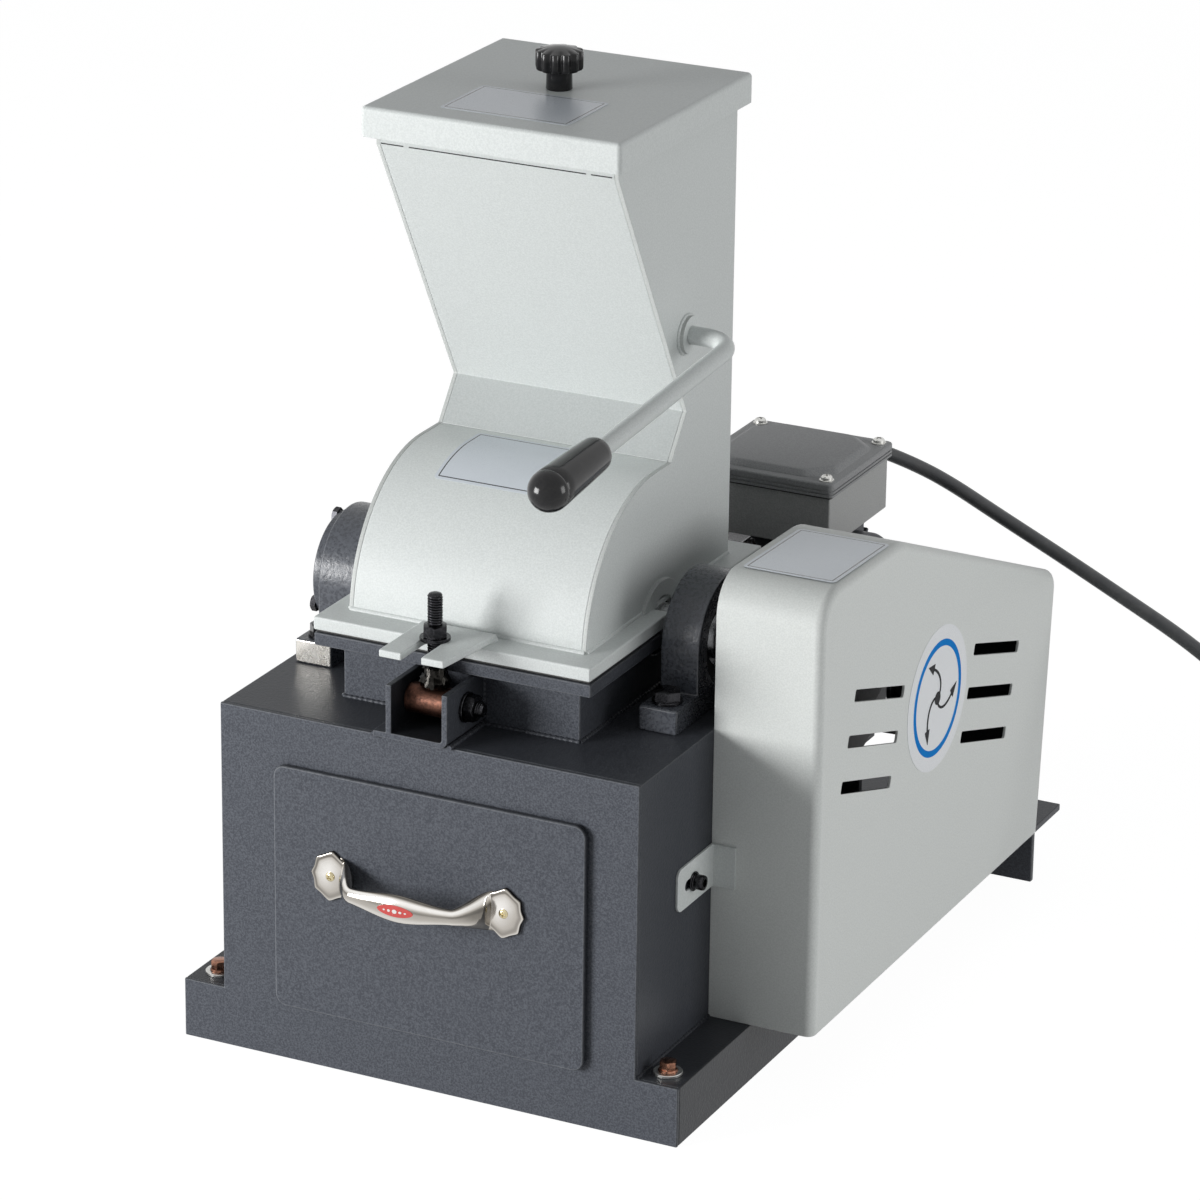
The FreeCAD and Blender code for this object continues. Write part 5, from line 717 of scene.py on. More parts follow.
def weld(name, lines, radius, ripple, pitch, finish, seed=5):
    """Weld beads along open lines of points."""
    points = []
    edges = []
    for line in lines:
        first = len(points)
        points += line
        edges += [(first + index, first + index + 1) for index in range(len(line) - 1)]
    mesh = bpy.data.meshes.new(name)
    mesh.from_pydata(points, edges, [])
    made = run_tree(linked(name, mesh), WELD, {"Radius": mm(radius), "Ripple": ripple, "Pitch": mm(pitch),
                                               "Seed": seed, "Finish": FINISH[finish]})
    made.data.shade_smooth()
    return made


# Mains lead
GLAND_X, GLAND_MOUTH_Y, GLAND_Z = 45.0, 489.0, 290.0
CORD_RADIUS = 5.0
CORD_LIE = 6.8
CORD_ROUTE = [
    (0.0, 0.0, 1.000), (0.0, 31.0, 1.000), (15.0, 58.5, 0.982), (40.0, 74.0, 0.940), (71.0, 74.0, 0.906),
    (118.0, 64.0, 0.848), (172.0, 52.0, 0.785), (223.0, 41.0, 0.721), (275.0, 25.0, 0.665),
    (319.0, 14.0, 0.590), (355.0, 4.0, 0.494), (385.0, -5.0, 0.374), (410.0, -13.0, 0.248),
    (433.0, -21.0, 0.140), (457.0, -30.0, 0.062), (483.0, -39.0, 0.018), (510.0, -48.0, 0.000),
    (538.0, -57.0, 0.000)]
COIL_HALF_TURNS = 6
COIL_POINTS = 8
COIL_PITCH = 11.0
COIL_INNER = 46.0
COIL_LAYER = 10.8
COIL_LEAD = 10.0
COIL_TAIL = 38.0


def cord_points():
    route = [at(GLAND_X + right, GLAND_MOUTH_Y + behind, CORD_LIE + (GLAND_Z - CORD_LIE) * share)
             for right, behind, share in CORD_ROUTE]
    heading = (route[-1] - route[-2]).normalized()
    start = route[-1] + heading * mm(COIL_LEAD)
    outward = Vector((-heading.y, heading.x, 0))
    inward = COIL_HALF_TURNS / 2

    def radius(place):
        return COIL_INNER + COIL_PITCH * abs(place - inward) / 2

    middle = start - outward * mm(radius(0))

    def coil_point(place):
        share = min(max(place - inward + 0.5, 0), 1)
        lift = mm(COIL_LAYER * (3 * share ** 2 - 2 * share ** 3))
        angle = pi * place
        return middle + (outward * cos(angle) + heading * sin(angle)) * mm(radius(place)) + Z * lift

    count = COIL_HALF_TURNS * COIL_POINTS
    coil = [coil_point(index / COIL_POINTS) for index in range(count + 1)]
    last = (coil_point(COIL_HALF_TURNS) - coil_point(COIL_HALF_TURNS - 0.001)).normalized()
    return route + coil + [coil[-1] + last * mm(COIL_TAIL)]


def mains_cord():
    curve = bpy.data.curves.new("mains_cord", "CURVE")
    curve.dimensions = "3D"
    curve.bevel_depth = mm(CORD_RADIUS)
    curve.bevel_resolution = 5
    curve.resolution_u = 8
    curve.use_fill_caps = True
    spline = curve.splines.new("NURBS")
    points = cord_points()
    spline.points.add(len(points) - 1)
    for slot_point, point in zip(spline.points, points):
        slot_point.co = (*point, 1)
    spline.order_u = 3
    spline.use_endpoint_u = True
    curve.materials.append(FINISH["cord"])
    return linked("mains_cord", curve)


lead = mains_cord()
place(lead, "machine", "cord", "power_cord", "cord_coil")
plug = dress("cord_plug", 1.2, 3)
tie = dress("cord_tie", 0.3)
relief = turned("cord_strain_relief", at(GLAND_X, GLAND_MOUTH_Y - 1, GLAND_Z), Y,
                [(0, 5.0), (0, 8.2), (2, 8.4)] +
                [point for step in range(6)
                 for point in ((3 + step * 3.2, 8.0 - step * 0.36), (4.4 + step * 3.2, 8.0 - step * 0.36),
                               (4.6 + step * 3.2, 6.7 - step * 0.22), (5.8 + step * 3.2, 6.7 - step * 0.22))] +
                [(23, 5.6), (23, 5.0)], "nylon", 32)
place(relief, "machine", "nylon")
at(GLAND_X, GLAND_MOUTH_Y, GLAND_Z)


# Sheet metal, castings and machined pieces, in the shapes of the frame
ROUNDED = {
    "base_frame": (1.0, 2), "front_sheet": (0.8, 2), "cabinet_shell": (1.0, 2), "rear_rail": (0.8, 2),
    "drawer_front": (1.2, 3), "drawer_tray": (0.4, 1), "lower_housing": (1.0, 2), "flange_gasket": (0.25, 1),
    "hood_flange": (1.2, 3), "fork_lug": (1.0, 2), "hood_front_sheet": (0.5, 2), "side_sheet_left": (0.4, 2),
    "side_sheet_right": (0.4, 2), "hopper_front_sheet": (0.5, 2), "hopper_rear_sheet": (0.5, 2),
    "hood_hinges": (0.5, 2), "hopper_lid": (0.4, 2), "feed_lever_rod": (0.5, 2),
    "feed_flap": (0.4, 1), "clamp_channel": (0.6, 2), "mill_shaft": (0.6, 2), "mill_pulley": (0.5, 2),
    "motor_pulley": (0.5, 2), "bearing_housing_left": (1.4, 3), "bearing_housing_right": (1.4, 3),
    "bearing_cover_left": (1.0, 3), "motor_frame": (0.5, 1), "motor_end_shields": (1.2, 2),
    "motor_fan_cover": (0.6, 2), "motor_stand": (0.8, 2), "terminal_box": (1.2, 3), "cable_gland": (0.6, 2),
    "belt_guard": (0.35, 2), "guard_bracket": (0.5, 2), "rotor_discs": (0.3, 1), "motor_rotor": (0.3, 1)}
dressed = {node: dress(node, width, segments) for node, (width, segments) in ROUNDED.items()}
for node, finish in (("base_frame", "base_paint"), ("terminal_box", "box_body"), ("belt_guard", "guard_paint"),
                     ("bearing_housing_left", "bearing_paint"), ("bearing_housing_right", "bearing_paint"),
                     ("bearing_cover_left", "bearing_paint")):
    dressed[node].data.materials[0] = FINISH[finish]

for node in nodes:
    mesh = nodes[node].data
    mesh.materials.clear()
    mesh.materials.append(FINISH[node_slot[node]])


# Faces with a finish of their own
def bare_foot_end(face):
    """The front end of the left bearing's foot is bare metal."""
    return face.center.y < at(0, 104, 0).y and face.center.z < mm(257.8) and face.normal.y < -0.85


def channel_inside(face):
    """Inside the clamp channel: a near-black, dull copy of the dark paint as painted shade."""
    low, high = at(-23.5, -3.5, 245.5), at(13.5, 47, 280)
    return low.x < face.center.x < high.x and face.center.y > low.y and low.z < face.center.z < high.z


def throat_shade(face):
    """The hopper shades the short face below its fold."""
    return mm(391) < face.center.z < mm(418) and face.normal.y < -0.4 and face.normal.z > 0.3


def sheet_rim(face):
    """The cut edges of a side sheet."""
    return abs(face.normal.x) < 0.9


def guard_inside(face):
    """Painted shade: a near-black finish on the inside of the guard's sheet."""
    outer = at(GUARD_FACE_X - 0.8, 0, 0).x
    inward = face.center + face.normal * mm(4)
    return (face.center.x < outer and face.normal.dot(at(187, 300, 190) - face.center) > 0 and
            face.area > 1e-5 and inward.x < outer and at(0, 108, 0).y < inward.y < at(0, 511, 0).y)


for chosen, finish, painted in ((bare_foot_end, "bright", ("bearing_housing_left",)),
                                (channel_inside, "dark_recess", ("clamp_channel",)),
                                (throat_shade, "light_shade", ("hopper_front_sheet", "hood_front_sheet")),
                                (sheet_rim, "light_rim", ("side_sheet_left", "side_sheet_right")),
                                (guard_inside, "inner_shade", ("belt_guard",))):
    for node in painted:
        mesh = dressed[node].data
        mesh.materials.append(FINISH[finish])
        for face in mesh.polygons:
            if chosen(face):
                face.material_index = 1


# Fasteners
def flat_washer(name, start, axis, outer, inner, height, finish, chamfer=0.3, steps=48):
    """A washer, race or barrel: a ring with its outer edges turned down."""
    shoulder = outer - chamfer
    return hollow_turned(name, start, axis, [(0, inner), (0, shoulder), (chamfer, outer), (height - chamfer, outer),
                                             (height, shoulder), (height, inner)], finish, steps)


def recessed_head(name, profile, finish, arm, reach, depth, top):
    """A turned screw head with a cross recess."""
    head = turned(name, Vector(), Z, profile, finish, 40)
    cutter_shape = bmesh.new()
    for turn in (0, pi / 2):
        bmesh.ops.create_cube(cutter_shape, size=1.0, matrix=Matrix.Rotation(turn, 4, "Z") @
                              Matrix.Translation((0, 0, mm(top))) @
                              Matrix.Diagonal((mm(reach), mm(arm), mm(2 * depth), 1)))
    cutter = from_bmesh(name + "_cutter", cutter_shape, finish, 0)
    cut = head.modifiers.new("recess", "BOOLEAN")
    cut.operation = "DIFFERENCE"
    cut.object = cutter
    cut.solver = "EXACT"
    cut.use_self = True
    made = baked(head)
    discard(cutter)
    shade(made.data, 35)
    return made


def hex_bolt_shape(name, flats, head, flange, flange_height, finish):
    pieces = []
    if flange:
        pieces.append(turned(name + "_flange", Vector(), Z,
                             [(0, flange - 0.3), (0.5, flange), (flange_height, flange * 0.88)], finish, 40))
    pieces.append(hexagon_piece(name + "_hex", Z * mm(flange_height * 0.7), Z, head, flats, finish))
    pieces.append(turned(name + "_shank", Z * mm(-8), Z, [(0, flats * 0.3), (9, flats * 0.3)], finish, 20))
    return joined(name, pieces)


def standing_bolts(node, spots, head, finish, seed, washer, washer_finish):
    """Upright bolts on their washers: head is (flats, height, flange, flange height), washer (outer, inner)."""
    height = 2.0
    bolts = copies(node + "_heads", hex_bolt_shape(node, *head, finish), spots, Z, finish, 1.0, seed)
    ring = flat_washer(node + "_washer", Vector(), Z, *washer, height, washer_finish)
    rings = copies(node + "_washers", ring, [spot - Z * mm(height) for spot in spots], Z, washer_finish, 0.0)
    fitted(node, [bolts, rings])


def fasteners():
    ledge = [at(x, y, 43) for x in (-164, 164) for y in (19, 470)]
    standing_bolts("ledge_bolts", ledge, (10.0, 6.0, 6.6, 1.5), "copper_steel", 4, (9.5, 3.2), "zinc")
    feet = [at(x, y, 260.5) for x in (-129, 121) for y in (99, 221)]
    feet += [at(x, MOTOR_Y + y, 104) for x in (-62, 62) for y in (-72, 72)]
    standing_bolts("foot_bolts", feet, (16.0, 6.4, 0, 0), "black_steel", 8, (10.0, 5.2), "black_steel")
    cover = [at(-150, *on_circle(SHAFT_Y, SHAFT_Z, 34.5, angle)) for angle in (90, 210, 330)]
    caps = copies("cover_bolt_heads", hex_bolt_shape("cover_bolt", 10.0, 4.0, 0, 0, "black_steel"), cover, -X,
                  "black_steel", 1.0, 2)
    place(caps, "machine", "black_steel", "bearing_cover_bolts")
    corners = [at(BOX_X + x, MOTOR_Y + y, BOX_LID_Z + 10) for x in (-45, 45) for y in (-44, 44)]
    screw = recessed_head("box_screw", [(0, 5.0), (0.8, 5.0), (1.0, 4.7), (1.0, 4.0), (2.6, 3.9), (3.4, 3.2),
                                        (3.8, 1.9), (3.9, 0.8)], "zinc", 1.0, 4.4, 1.6, 3.9)
    heads = copies("box_screw_heads", screw, corners, Z, "zinc", 1.5, 6)
    place(heads, "machine", "zinc", "terminal_box_screws")
    handle = [at(PULL_X + side * SCREW_HALF, -7.6, PULL_Z) for side in (-1, 1)]
    screw = recessed_head("handle_screw", [(-0.2, 3.2), (0.4, 3.2), (1.0, 2.8), (1.4, 2.0), (1.6, 0.8)], "brass",
                          0.8, 3.8, 1.1, 1.6)
    heads = copies("handle_screw_heads", screw, handle, -Y, "brass", 1.5, 9)
    place(heads, "drawer", "zinc", "drawer_handle_screws")


fasteners()


# Clamp: eye, stud, collar, nut, washer and cross bolt
def clamp():
    pivot = at(CLAMP_X, CLAMP_Y, CLAMP_Z)
    eye = flat_washer("eye_barrel", pivot - X * mm(17.5), X, 10.0, 5.1, 35.0, "copper_dull", 0.6)
    place(eye, "swing_bolt", "copper_steel", "swing_eye")
    core = turned("stud_core", pivot + Z * mm(9), Z, [(0, 4.2), (61.8, 4.2), (62.8, 4.6), (63.6, 4.1), (64.1, 3.0),
                                                       (64.3, 1.2)], "black_steel", 32)
    rib = thread("stud_thread", pivot + Z * mm(24), Z, 47.4, 4.3, 1.75, "black_steel")
    collar = turned("stud_collar", at(CLAMP_X, CLAMP_Y, 273), Z,
                    [(0, 6.5), (0.6, 9.0), (2, 10.0), (4.5, 10.2), (6.4, 9.2), (7.6, 8.2), (8.6, 7.6), (12.6, 7.5),
                     (13.6, 6.8), (14, 5.6)], "grease", 72,
                    wave=lambda angle, along: 1 + 0.05 * sin(5 * angle + along) +
                    0.035 * sin(11 * angle - 2 * along) + 0.02 * sin(17 * angle + 3 * along))
    fitted("swing_stud", [core, rib, collar])
    nut = hexagon_piece("nut_hex", at(CLAMP_X, CLAMP_Y, 306.7), Z, 8.0, 14.6, "black_steel", True, -0.06)
    disc = flat_washer("nut_washer", at(CLAMP_X, CLAMP_Y, 304.5), Z, 10.0, 5.3, 2.2, "black_steel")
    fitted("clamp_nut", [nut, disc])
    head = hexagon_piece("clevis_head", at(-29, CLAMP_Y, CLAMP_Z), -X, 6.4, 16.0, "black_steel", turn=0.2)
    far = hexagon_piece("clevis_nut", at(19, CLAMP_Y, CLAMP_Z), X, 6.4, 16.0, "black_steel", True, 0.4)
    rod = turned("clevis_rod", at(-29, CLAMP_Y, CLAMP_Z), X, [(0, 4.9), (58.8, 4.5), (59.4, 3.8)], "black_steel", 32)
    rib = thread("clevis_thread", at(22, CLAMP_Y, CLAMP_Z), X, 7.6, 4.4, 1.5, "black_steel")
    left = flat_washer("clevis_washer_left", at(-29, CLAMP_Y, CLAMP_Z), X, 10.0, 5.1, 2.0, "black_steel")
    right = flat_washer("clevis_washer_right", at(17, CLAMP_Y, CLAMP_Z), X, 10.0, 5.1, 2.0, "black_steel")
    fitted("clevis_bolt_set", [head, far, rod, rib, left, right], "clevis_bolt_finished")


clamp()


# Socket screw on the guard's bracket
def bracket_screw():
    start = at(154, 77.5, 148.75)
    knurl = turned("screw_knurl", start, X, [(0, 4.7), (0.4, 5.0), (5.2, 5.0), (5.8, 4.6), (6.0, 4.0), (6.0, 2.7),
                                             (3.2, 2.6), (3.0, 0.4)], "black_steel", 72, 30,
                   wave=lambda angle, along: 1 - (0.035 if 0.3 < along < 5.3 else 0.0) *
                   (0.5 + 0.5 * cos(24 * angle)))
    shank = turned("screw_shank", start - X * mm(15.5), X, [(0, 2.9), (16, 2.9)], "black_steel", 20)
    disc = flat_washer("screw_washer", start - X * mm(2), X, 6.5, 3.1, 1.2, "black_steel")
    spring = flat_washer("screw_spring_washer", start - X * mm(0.8), X, 5.4, 3.1, 0.8, "black_steel")
    fitted("guard_screw", [knurl, shank, disc, spring])


bracket_screw()


# Knob on the lid
def star_knob():
    start = at(0, 178.5, LID_TOP)
    head = [(12.6, 9.0), (12.7, 13.4), (13.1, 14.6), (13.9, 15.3), (15.5, 15.5), (20, 15.5), (24.4, 15.5),
            (25.0, 15.3), (25.35, 14.7), (25.5, 14.0), (26.2, 11.5), (26.9, 8.5), (27.5, 5.5), (27.9, 2.5),
            (28.0, 0.4)]

    def lobes(angle, along):
        grip = min(max((along - 12.6) / 0.5, 0), 1) * min(max((26.6 - along) / 1.1, 0), 1)
        valley = 0.5 + 0.5 * cos(12 * angle)
        return 1 - 0.15 * grip * valley ** 1.6

    crown = turned("knob_head", start, Z, head, "black_plastic", 192, 32, wave=lobes)
    stem = turned("knob_stem", start, Z, [(0, 8.0), (0.5, 8.5), (9, 8.3), (12, 8.6), (13.2, 9.4)], "black_plastic",
                  48, 50)
    fitted("lid_knob", [crown, stem])


star_knob()


# Grip on the feed lever: moulded, fuller at its free end, with a fine parting line
def lever_grip():
    tilt = math.atan2(LEVER_DROP, LEVER_REACH)
    along = Vector((0, -cos(tilt), -sin(tilt)))
    tip = at(LEVER_ARM_X, LEVER_Y, LEVER_Z) + along * mm(LEVER_REACH)
    start = tip - along * mm(GRIP_LENGTH)
    profile = [(0.0, 6.1), (0.0, 8.4), (0.4, 9.5), (1.4, 10.5), (3.2, 11.1), (6.5, 11.45), (30, 12.35), (55, 13.2),
               (63.6, 13.45), (63.9, 13.25), (64.3, 13.25), (64.5, 13.4)]
    profile += [(64.5 + 13.5 * sin(radians(angle)), 13.4 * cos(radians(angle))) for angle in range(5, 90, 6)]
    profile.append((GRIP_LENGTH, 0.15))
    place(turned("feed_lever_grip_finished", start, along, profile, "black_plastic", 64, 50), "feed_lever",
          "black_plastic", "feed_lever_grip")


lever_grip()


# Drawer pull: bowed bar between two scalloped plates, with an enamel oval
# Brightness of the painted reflections on the bar, by angle round it in degrees.
PULL_REFLECTIONS = ((-180, 0.35), (-100, 0.15), (-80, 0.30), (-62, 0.72), (-35, 0.80), (-12, 0.62), (8, 0.55),
                (20, 0.30), (27, 0.62), (40, 0.98), (56, 1.0), (66, 0.45), (74, 0.08), (88, 0.35), (110, 0.6),
                (180, 0.35))


def smooth_step(value):
    value = min(max(value, 0), 1)
    return value * value * (3 - 2 * value)


def pull_spine(share):
    away = abs(share)
    depth = 1.2 + 21.0 * smooth_step((0.97 - away) / 0.34) + 5.2 * max(1 - (away / 0.72) ** 2, 0)
    return Vector((PULL_X + PULL_HALF * share, PULL_FACE - depth, PULL_Z))


def pull_section(share, angle):
    """A point of the bar: share runs from -1 to 1 along it, angle goes round it from the front over the top."""
    away = abs(share)
    run = (pull_spine(share + 0.004) - pull_spine(share - 0.004)).normalized()
    outward = Vector((run.y, -run.x, 0))
    swell = 1 - smooth_step(away / 0.68)
    flare = smooth_step((away - 0.62) / 0.33)
    half_height = 5.4 + 4.2 * swell + 8.2 * flare
    half_depth = 3.7 + 0.5 * swell + 1.4 * math.exp(-((away - 0.80) / 0.09) ** 2)
    half_depth = max(half_depth - 3.6 * smooth_step((away - 0.86) / 0.1), 0.6)
    front = cos(angle)
    bulge = front ** 1.25 if front > 0 else -abs(front) ** 0.8
    return pull_spine(share) + outward * (half_depth * bulge) + Z * (half_height * sin(angle))


def pull_tone(share, angle):
    """How bright the painted reflections on the bar are there."""
    degrees = (math.degrees(angle) + 180) % 360 - 180 + 9 * sin(3.1 * share + 0.6)
    degrees = min(max(degrees, -180), 180)
    for (low, first), (high, second) in zip(PULL_REFLECTIONS, PULL_REFLECTIONS[1:]):
        if low <= degrees <= high:
            tone = first + (second - first) * (degrees - low) / (high - low)
    return min(max(tone - 0.25 * smooth_step((abs(share) - 0.62) / 0.2) * (0.5 + 0.5 * cos(2 * angle)), 0), 1)


# Plate rings: share of the outline, rise, and brightness of the painted reflection.
PLATE_RINGS = ((0.02, 2.6, 0.86), (0.25, 2.6, 0.84), (0.45, 2.35, 0.80), (0.66, 2.2, 0.72), (0.78, 2.28, 0.58),
               (0.86, 2.45, 0.36), (0.92, 2.65, 0.55), (0.96, 2.68, 0.72), (0.985, 2.4, 0.42), (1.0, 1.8, 0.16),
               (1.0, 0.05, 0.10))


def pull_plate(side):
    """Scalloped plate, dished round the screw, with a raised rim; and its painted reflections, ring by ring."""
    middle = Vector((PULL_X + side * SCREW_HALF, PULL_FACE, PULL_Z))
    rings = []
    tones = []
    for share, rise, tone in PLATE_RINGS:
        ring = []
        for angle in around(96):
            outline = 1 / math.hypot(cos(angle) / 13.2, sin(angle) / 16.2)
            cusp = 1 - abs(sin(4 * angle + 0.3))
            lobe = 0.050 * cusp ** 2 + 0.034 * cos(8 * angle + 0.6)
            reach = outline * share * (1 + lobe * share ** 3)
            ring.append(to_frame(middle + Vector((reach * cos(angle), -rise, reach * sin(angle)))))
            # Painted reflection brighter towards one side of the plate.
            lean = 0.13 * cos(angle - 2.4) * (1 if share < 0.8 else -0.8)
            tones.append(min(max(tone + lean, 0), 1))
        rings.append(ring)
    return rings_mesh("pull_plate", rings, "chrome", 50), tones


def drawer_pull():
    shares = [-1 + 2 * index / 96 for index in range(97)]
    turns = around(48)
    bar = rings_mesh("pull_bar", [[to_frame(pull_section(share, turn)) for turn in turns] for share in shares],
                     "chrome", 60)
    tones = [pull_tone(share, turn) for share in shares for turn in turns]
    plates = []
    for side in (-1, 1):
        plate, plate_tones = pull_plate(side)
        plates.append(plate)
        tones += plate_tones
    whole = joined("drawer_pull", [bar] + plates)
    reflections = whole.data.attributes.new("tone", "FLOAT", "POINT")
    reflections.data.foreach_set("value", tones)
    place(whole, "drawer", "chrome", "drawer_handle")

    def patch(name, middle, half_share, half_angle, lift, finish, points=48):
        shape = bmesh.new()
        centre = shape.verts.new(to_frame(pull_section(middle, 0) - Y * lift))
        rows = []
        for ring in (0.5, 1.0):
            row = []
            for turn in around(points):
                spot = pull_section(middle + ring * half_share * cos(turn), ring * half_angle * sin(turn))
                row.append(shape.verts.new(to_frame(spot - Y * lift)))
            rows.append(row)
        under = [shape.verts.new(vert.co + Y * mm(0.5)) for vert in rows[1]]
        for step in range(points):
            following = (step + 1) % points
            shape.faces.new((centre, rows[0][step], rows[0][following]))
            shape.faces.new((rows[0][step], rows[1][step], rows[1][following], rows[0][following]))
            shape.faces.new((rows[1][step], under[step], under[following], rows[1][following]))
        bmesh.ops.recalc_face_normals(shape, faces=shape.faces)
        return from_bmesh(name, shape, finish, 50)

    pieces = [patch("pull_oval_field", 0.0, 0.22, 0.42, 0.3, "enamel")]
    for spot, size in ((-0.13, 0.55), (-0.07, 0.75), (0.0, 1.2), (0.07, 0.75), (0.13, 0.55)):
        pieces.append(patch("pull_oval_dot", spot, 0.024 * size, 0.12 * size, 0.5, "enamel_dot", 16))
    place(joined("pull_oval", pieces), "drawer", "chrome")


drawer_pull()


def rounded_outline(width, height, radius, inset=0.0, steps=5):
    """A rectangle with rounded corners, drawn in by the inset."""
    points = []
    reach = max(radius - inset, 0.2)
    half_w, half_h = width / 2 - inset - reach, height / 2 - inset - reach
    for sx, sy, start in ((1, 1, 0), (-1, 1, 90), (-1, -1, 180), (1, -1, 270)):
        for step in range(steps):
            angle = radians(start + 90 * step / (steps - 1))
            points.append((sx * half_w + reach * cos(angle), sy * half_h + reach * sin(angle)))
    return points


# Terminal box lid: layered edge and an eight-sided raised middle
def box_lid():
    half_x, half_y = 53, 52
    x0, x1, y0, y1 = BOX_X - half_x, BOX_X + half_x, MOTOR_Y - half_y, MOTOR_Y + half_y

    def outline(inset, z):
        return [at(BOX_X + x, MOTOR_Y + y, z) for x, y in rounded_outline(2 * half_x, 2 * half_y, 4.0, inset, 7)]

    base = BOX_LID_Z - 4
    steps = [(3.2, 4.0), (0.8, 4.0), (0.2, 4.4), (0.2, 6.0), (1.2, 6.2), (1.2, 6.9), (0.1, 7.1), (0.0, 8.6),
             (0.9, 8.8), (0.9, 9.5), (0.0, 9.8), (0.0, 12.8), (0.5, 13.6), (1.3, 14.0)]
    slab = rings_mesh("box_lid_slab", [outline(inset, base + z) for inset, z in steps], "box_paint", 30)
    crown_rings = []
    for inset, z in ((6.4, 13.0), (6.8, 14.1), (7.6, 14.9), (10.2, 17.3), (11.2, 17.8), (12.6, 18.0)):
        a0, a1, b0, b1 = x0 + inset, x1 - inset, y0 + inset, y1 - inset
        cut = 16.0
        ring = []
        corners = [(a0 + cut, b0), (a1 - cut, b0), (a1, b0 + cut), (a1, b1 - cut), (a1 - cut, b1), (a0 + cut, b1),
                   (a0, b1 - cut), (a0, b0 + cut)]
        for index, (x, y) in enumerate(corners):
            before, after = Vector(corners[index - 1]), Vector(corners[(index + 1) % 8])
            here = Vector((x, y))
            start = here + (before - here).normalized() * 2.5
            end = here + (after - here).normalized() * 2.5
            for share in (0, 0.5, 1):
                spot = start * (1 - share) ** 2 + here * 2 * share * (1 - share) + end * share ** 2
                ring.append(at(spot.x, spot.y, base + z))
        crown_rings.append(ring)
    crown = rings_mesh("box_lid_crown", crown_rings, "box_paint", 40)
    fitted("terminal_box_lid", [slab, crown])
    gasket = rings_mesh("box_gasket", [outline(inset, base + z) for inset, z in
                                       ((3.6, 2.6), (2.2, 2.7), (2.2, 4.05), (3.6, 4.1))], "gasket", 30)
    place(gasket, "machine", "gasket")


box_lid()


# V-belt and bearings
def belt():
    mill = Vector((0, SHAFT_Y, SHAFT_Z))
    motor = Vector((0, MOTOR_Y, MOTOR_Z))
    along = (motor - mill).normalized()
    across = X.cross(along)
    rings = []
    sections = ((-6.25, 0.8), (6.25, 0.8), (6.25, -1.0), (4.1, -8.2), (-4.1, -8.2), (-6.25, -1.0))
    lean = math.acos((42.8 - 50.8) / (motor - mill).length)
    spots = []
    for centre, radius, first, last in ((mill, 42, lean, 2 * pi - lean), (motor, 50, -lean, lean)):
        for step in range(25):
            angle = first + (last - first) * step / 24
            spots.append((centre, radius, along * cos(angle) + across * sin(angle)))
    for centre, radius, outward in spots + spots[:1]:
        rings.append([to_frame(Vector((168 + x, 0, 0)) + centre + outward * (radius + rise))
                      for x, rise in sections])
    place(rings_mesh("v_belt_finished", rings, "belt", 30, caps=False), "machine", "belt", "v_belt")


def bearings():
    pieces = []
    for start in (-142.5 + 5.5, 107.5 + 5.5):
        origin = at(start, SHAFT_Y, SHAFT_Z)
        pieces.append(flat_washer("outer_race", origin, X, 31.0, 26.5, 16.0, "bearing_steel", 0.6, 64))
        pieces.append(hollow_turned("inner_race", origin, X, [(0, 15.05), (0, 19), (16, 19), (16, 15.05)],
                                    "bearing_steel", 64))
        pieces.append(hollow_turned("seal", origin + X * mm(0.6), X, [(0, 19), (0, 26.5), (14.8, 26.5), (14.8, 19)],
                                    "gasket", 64))
    fitted("shaft_bearings", pieces)


belt()
bearings()


# Welds
def legs(*points):
    """The straight stretches of a line."""
    return list(zip(points, points[1:]))


def welds():
    half, front, rear = HOUSING_HALF, HOUSING_FRONT, HOUSING_REAR
    bushes = [[(side * 85.3, *on_circle(LEVER_Y, LEVER_Z, 12.6, angle)) for angle in range(0, 361, 15)]
              for side in (-1, 1)]
    beads = (
        ("hood_base_bead", 2.6, 0.015, 6.0, "light_paint", 7,
         legs((84, 264, 299.2), (84, 55.2, 299.2), (-84, 55.2, 299.2), (-84, 264, 299.2))),
        ("lug_bead", 2.4, 0.02, 5.0, "light_paint", 13,
         [((-28, 49, 300.8), (-28, 33, 300.4)), ((18.6, 33, 300.4), (24.6, 47.6, 300.8)),
          ((24.6, 47.6, 300.8), (-28, 48.4, 301.4))]),
        ("channel_bead", 1.8, 0.18, 3.5, "dark_paint", 17,
         [((-36, 46.8, 242.4), (-36, -3, 242.4)), ((17.4, 46.8, 243), (17.4, -2, 243)),
          ((-27, 46.8, 277), (-27, 46.8, 247)), ((17, 46.8, 277), (17, 46.8, 247))]),
        ("housing_bead", 1.7, 0.15, 4.0, "dark_paint", 19,
         legs((-half, front, 242.2), (half, front, 242.2), (half, rear, 242.2), (-half, rear, 242.2),
              (-half, front, 242.2))),
        ("bush_bead", 1.3, 0.15, 3.0, "light_paint", 23, bushes),
        ("ledge_bead", 1.5, 0.12, 4.0, "dark_paint", 29,
         [((-150, 2, 41.2), (-150, 300, 41.2)), ((150, 2, 41.2), (150, 300, 41.2)),
          ((-150, 300, 41.2), (150, 300, 41.2))]))
    for name, radius, ripple, pitch, finish, seed, lines in beads:
        spots = [[at(*point) for point in line] for line in lines]
        place(weld(name, spots, radius, ripple, pitch, finish, seed), "machine", finish)


welds()


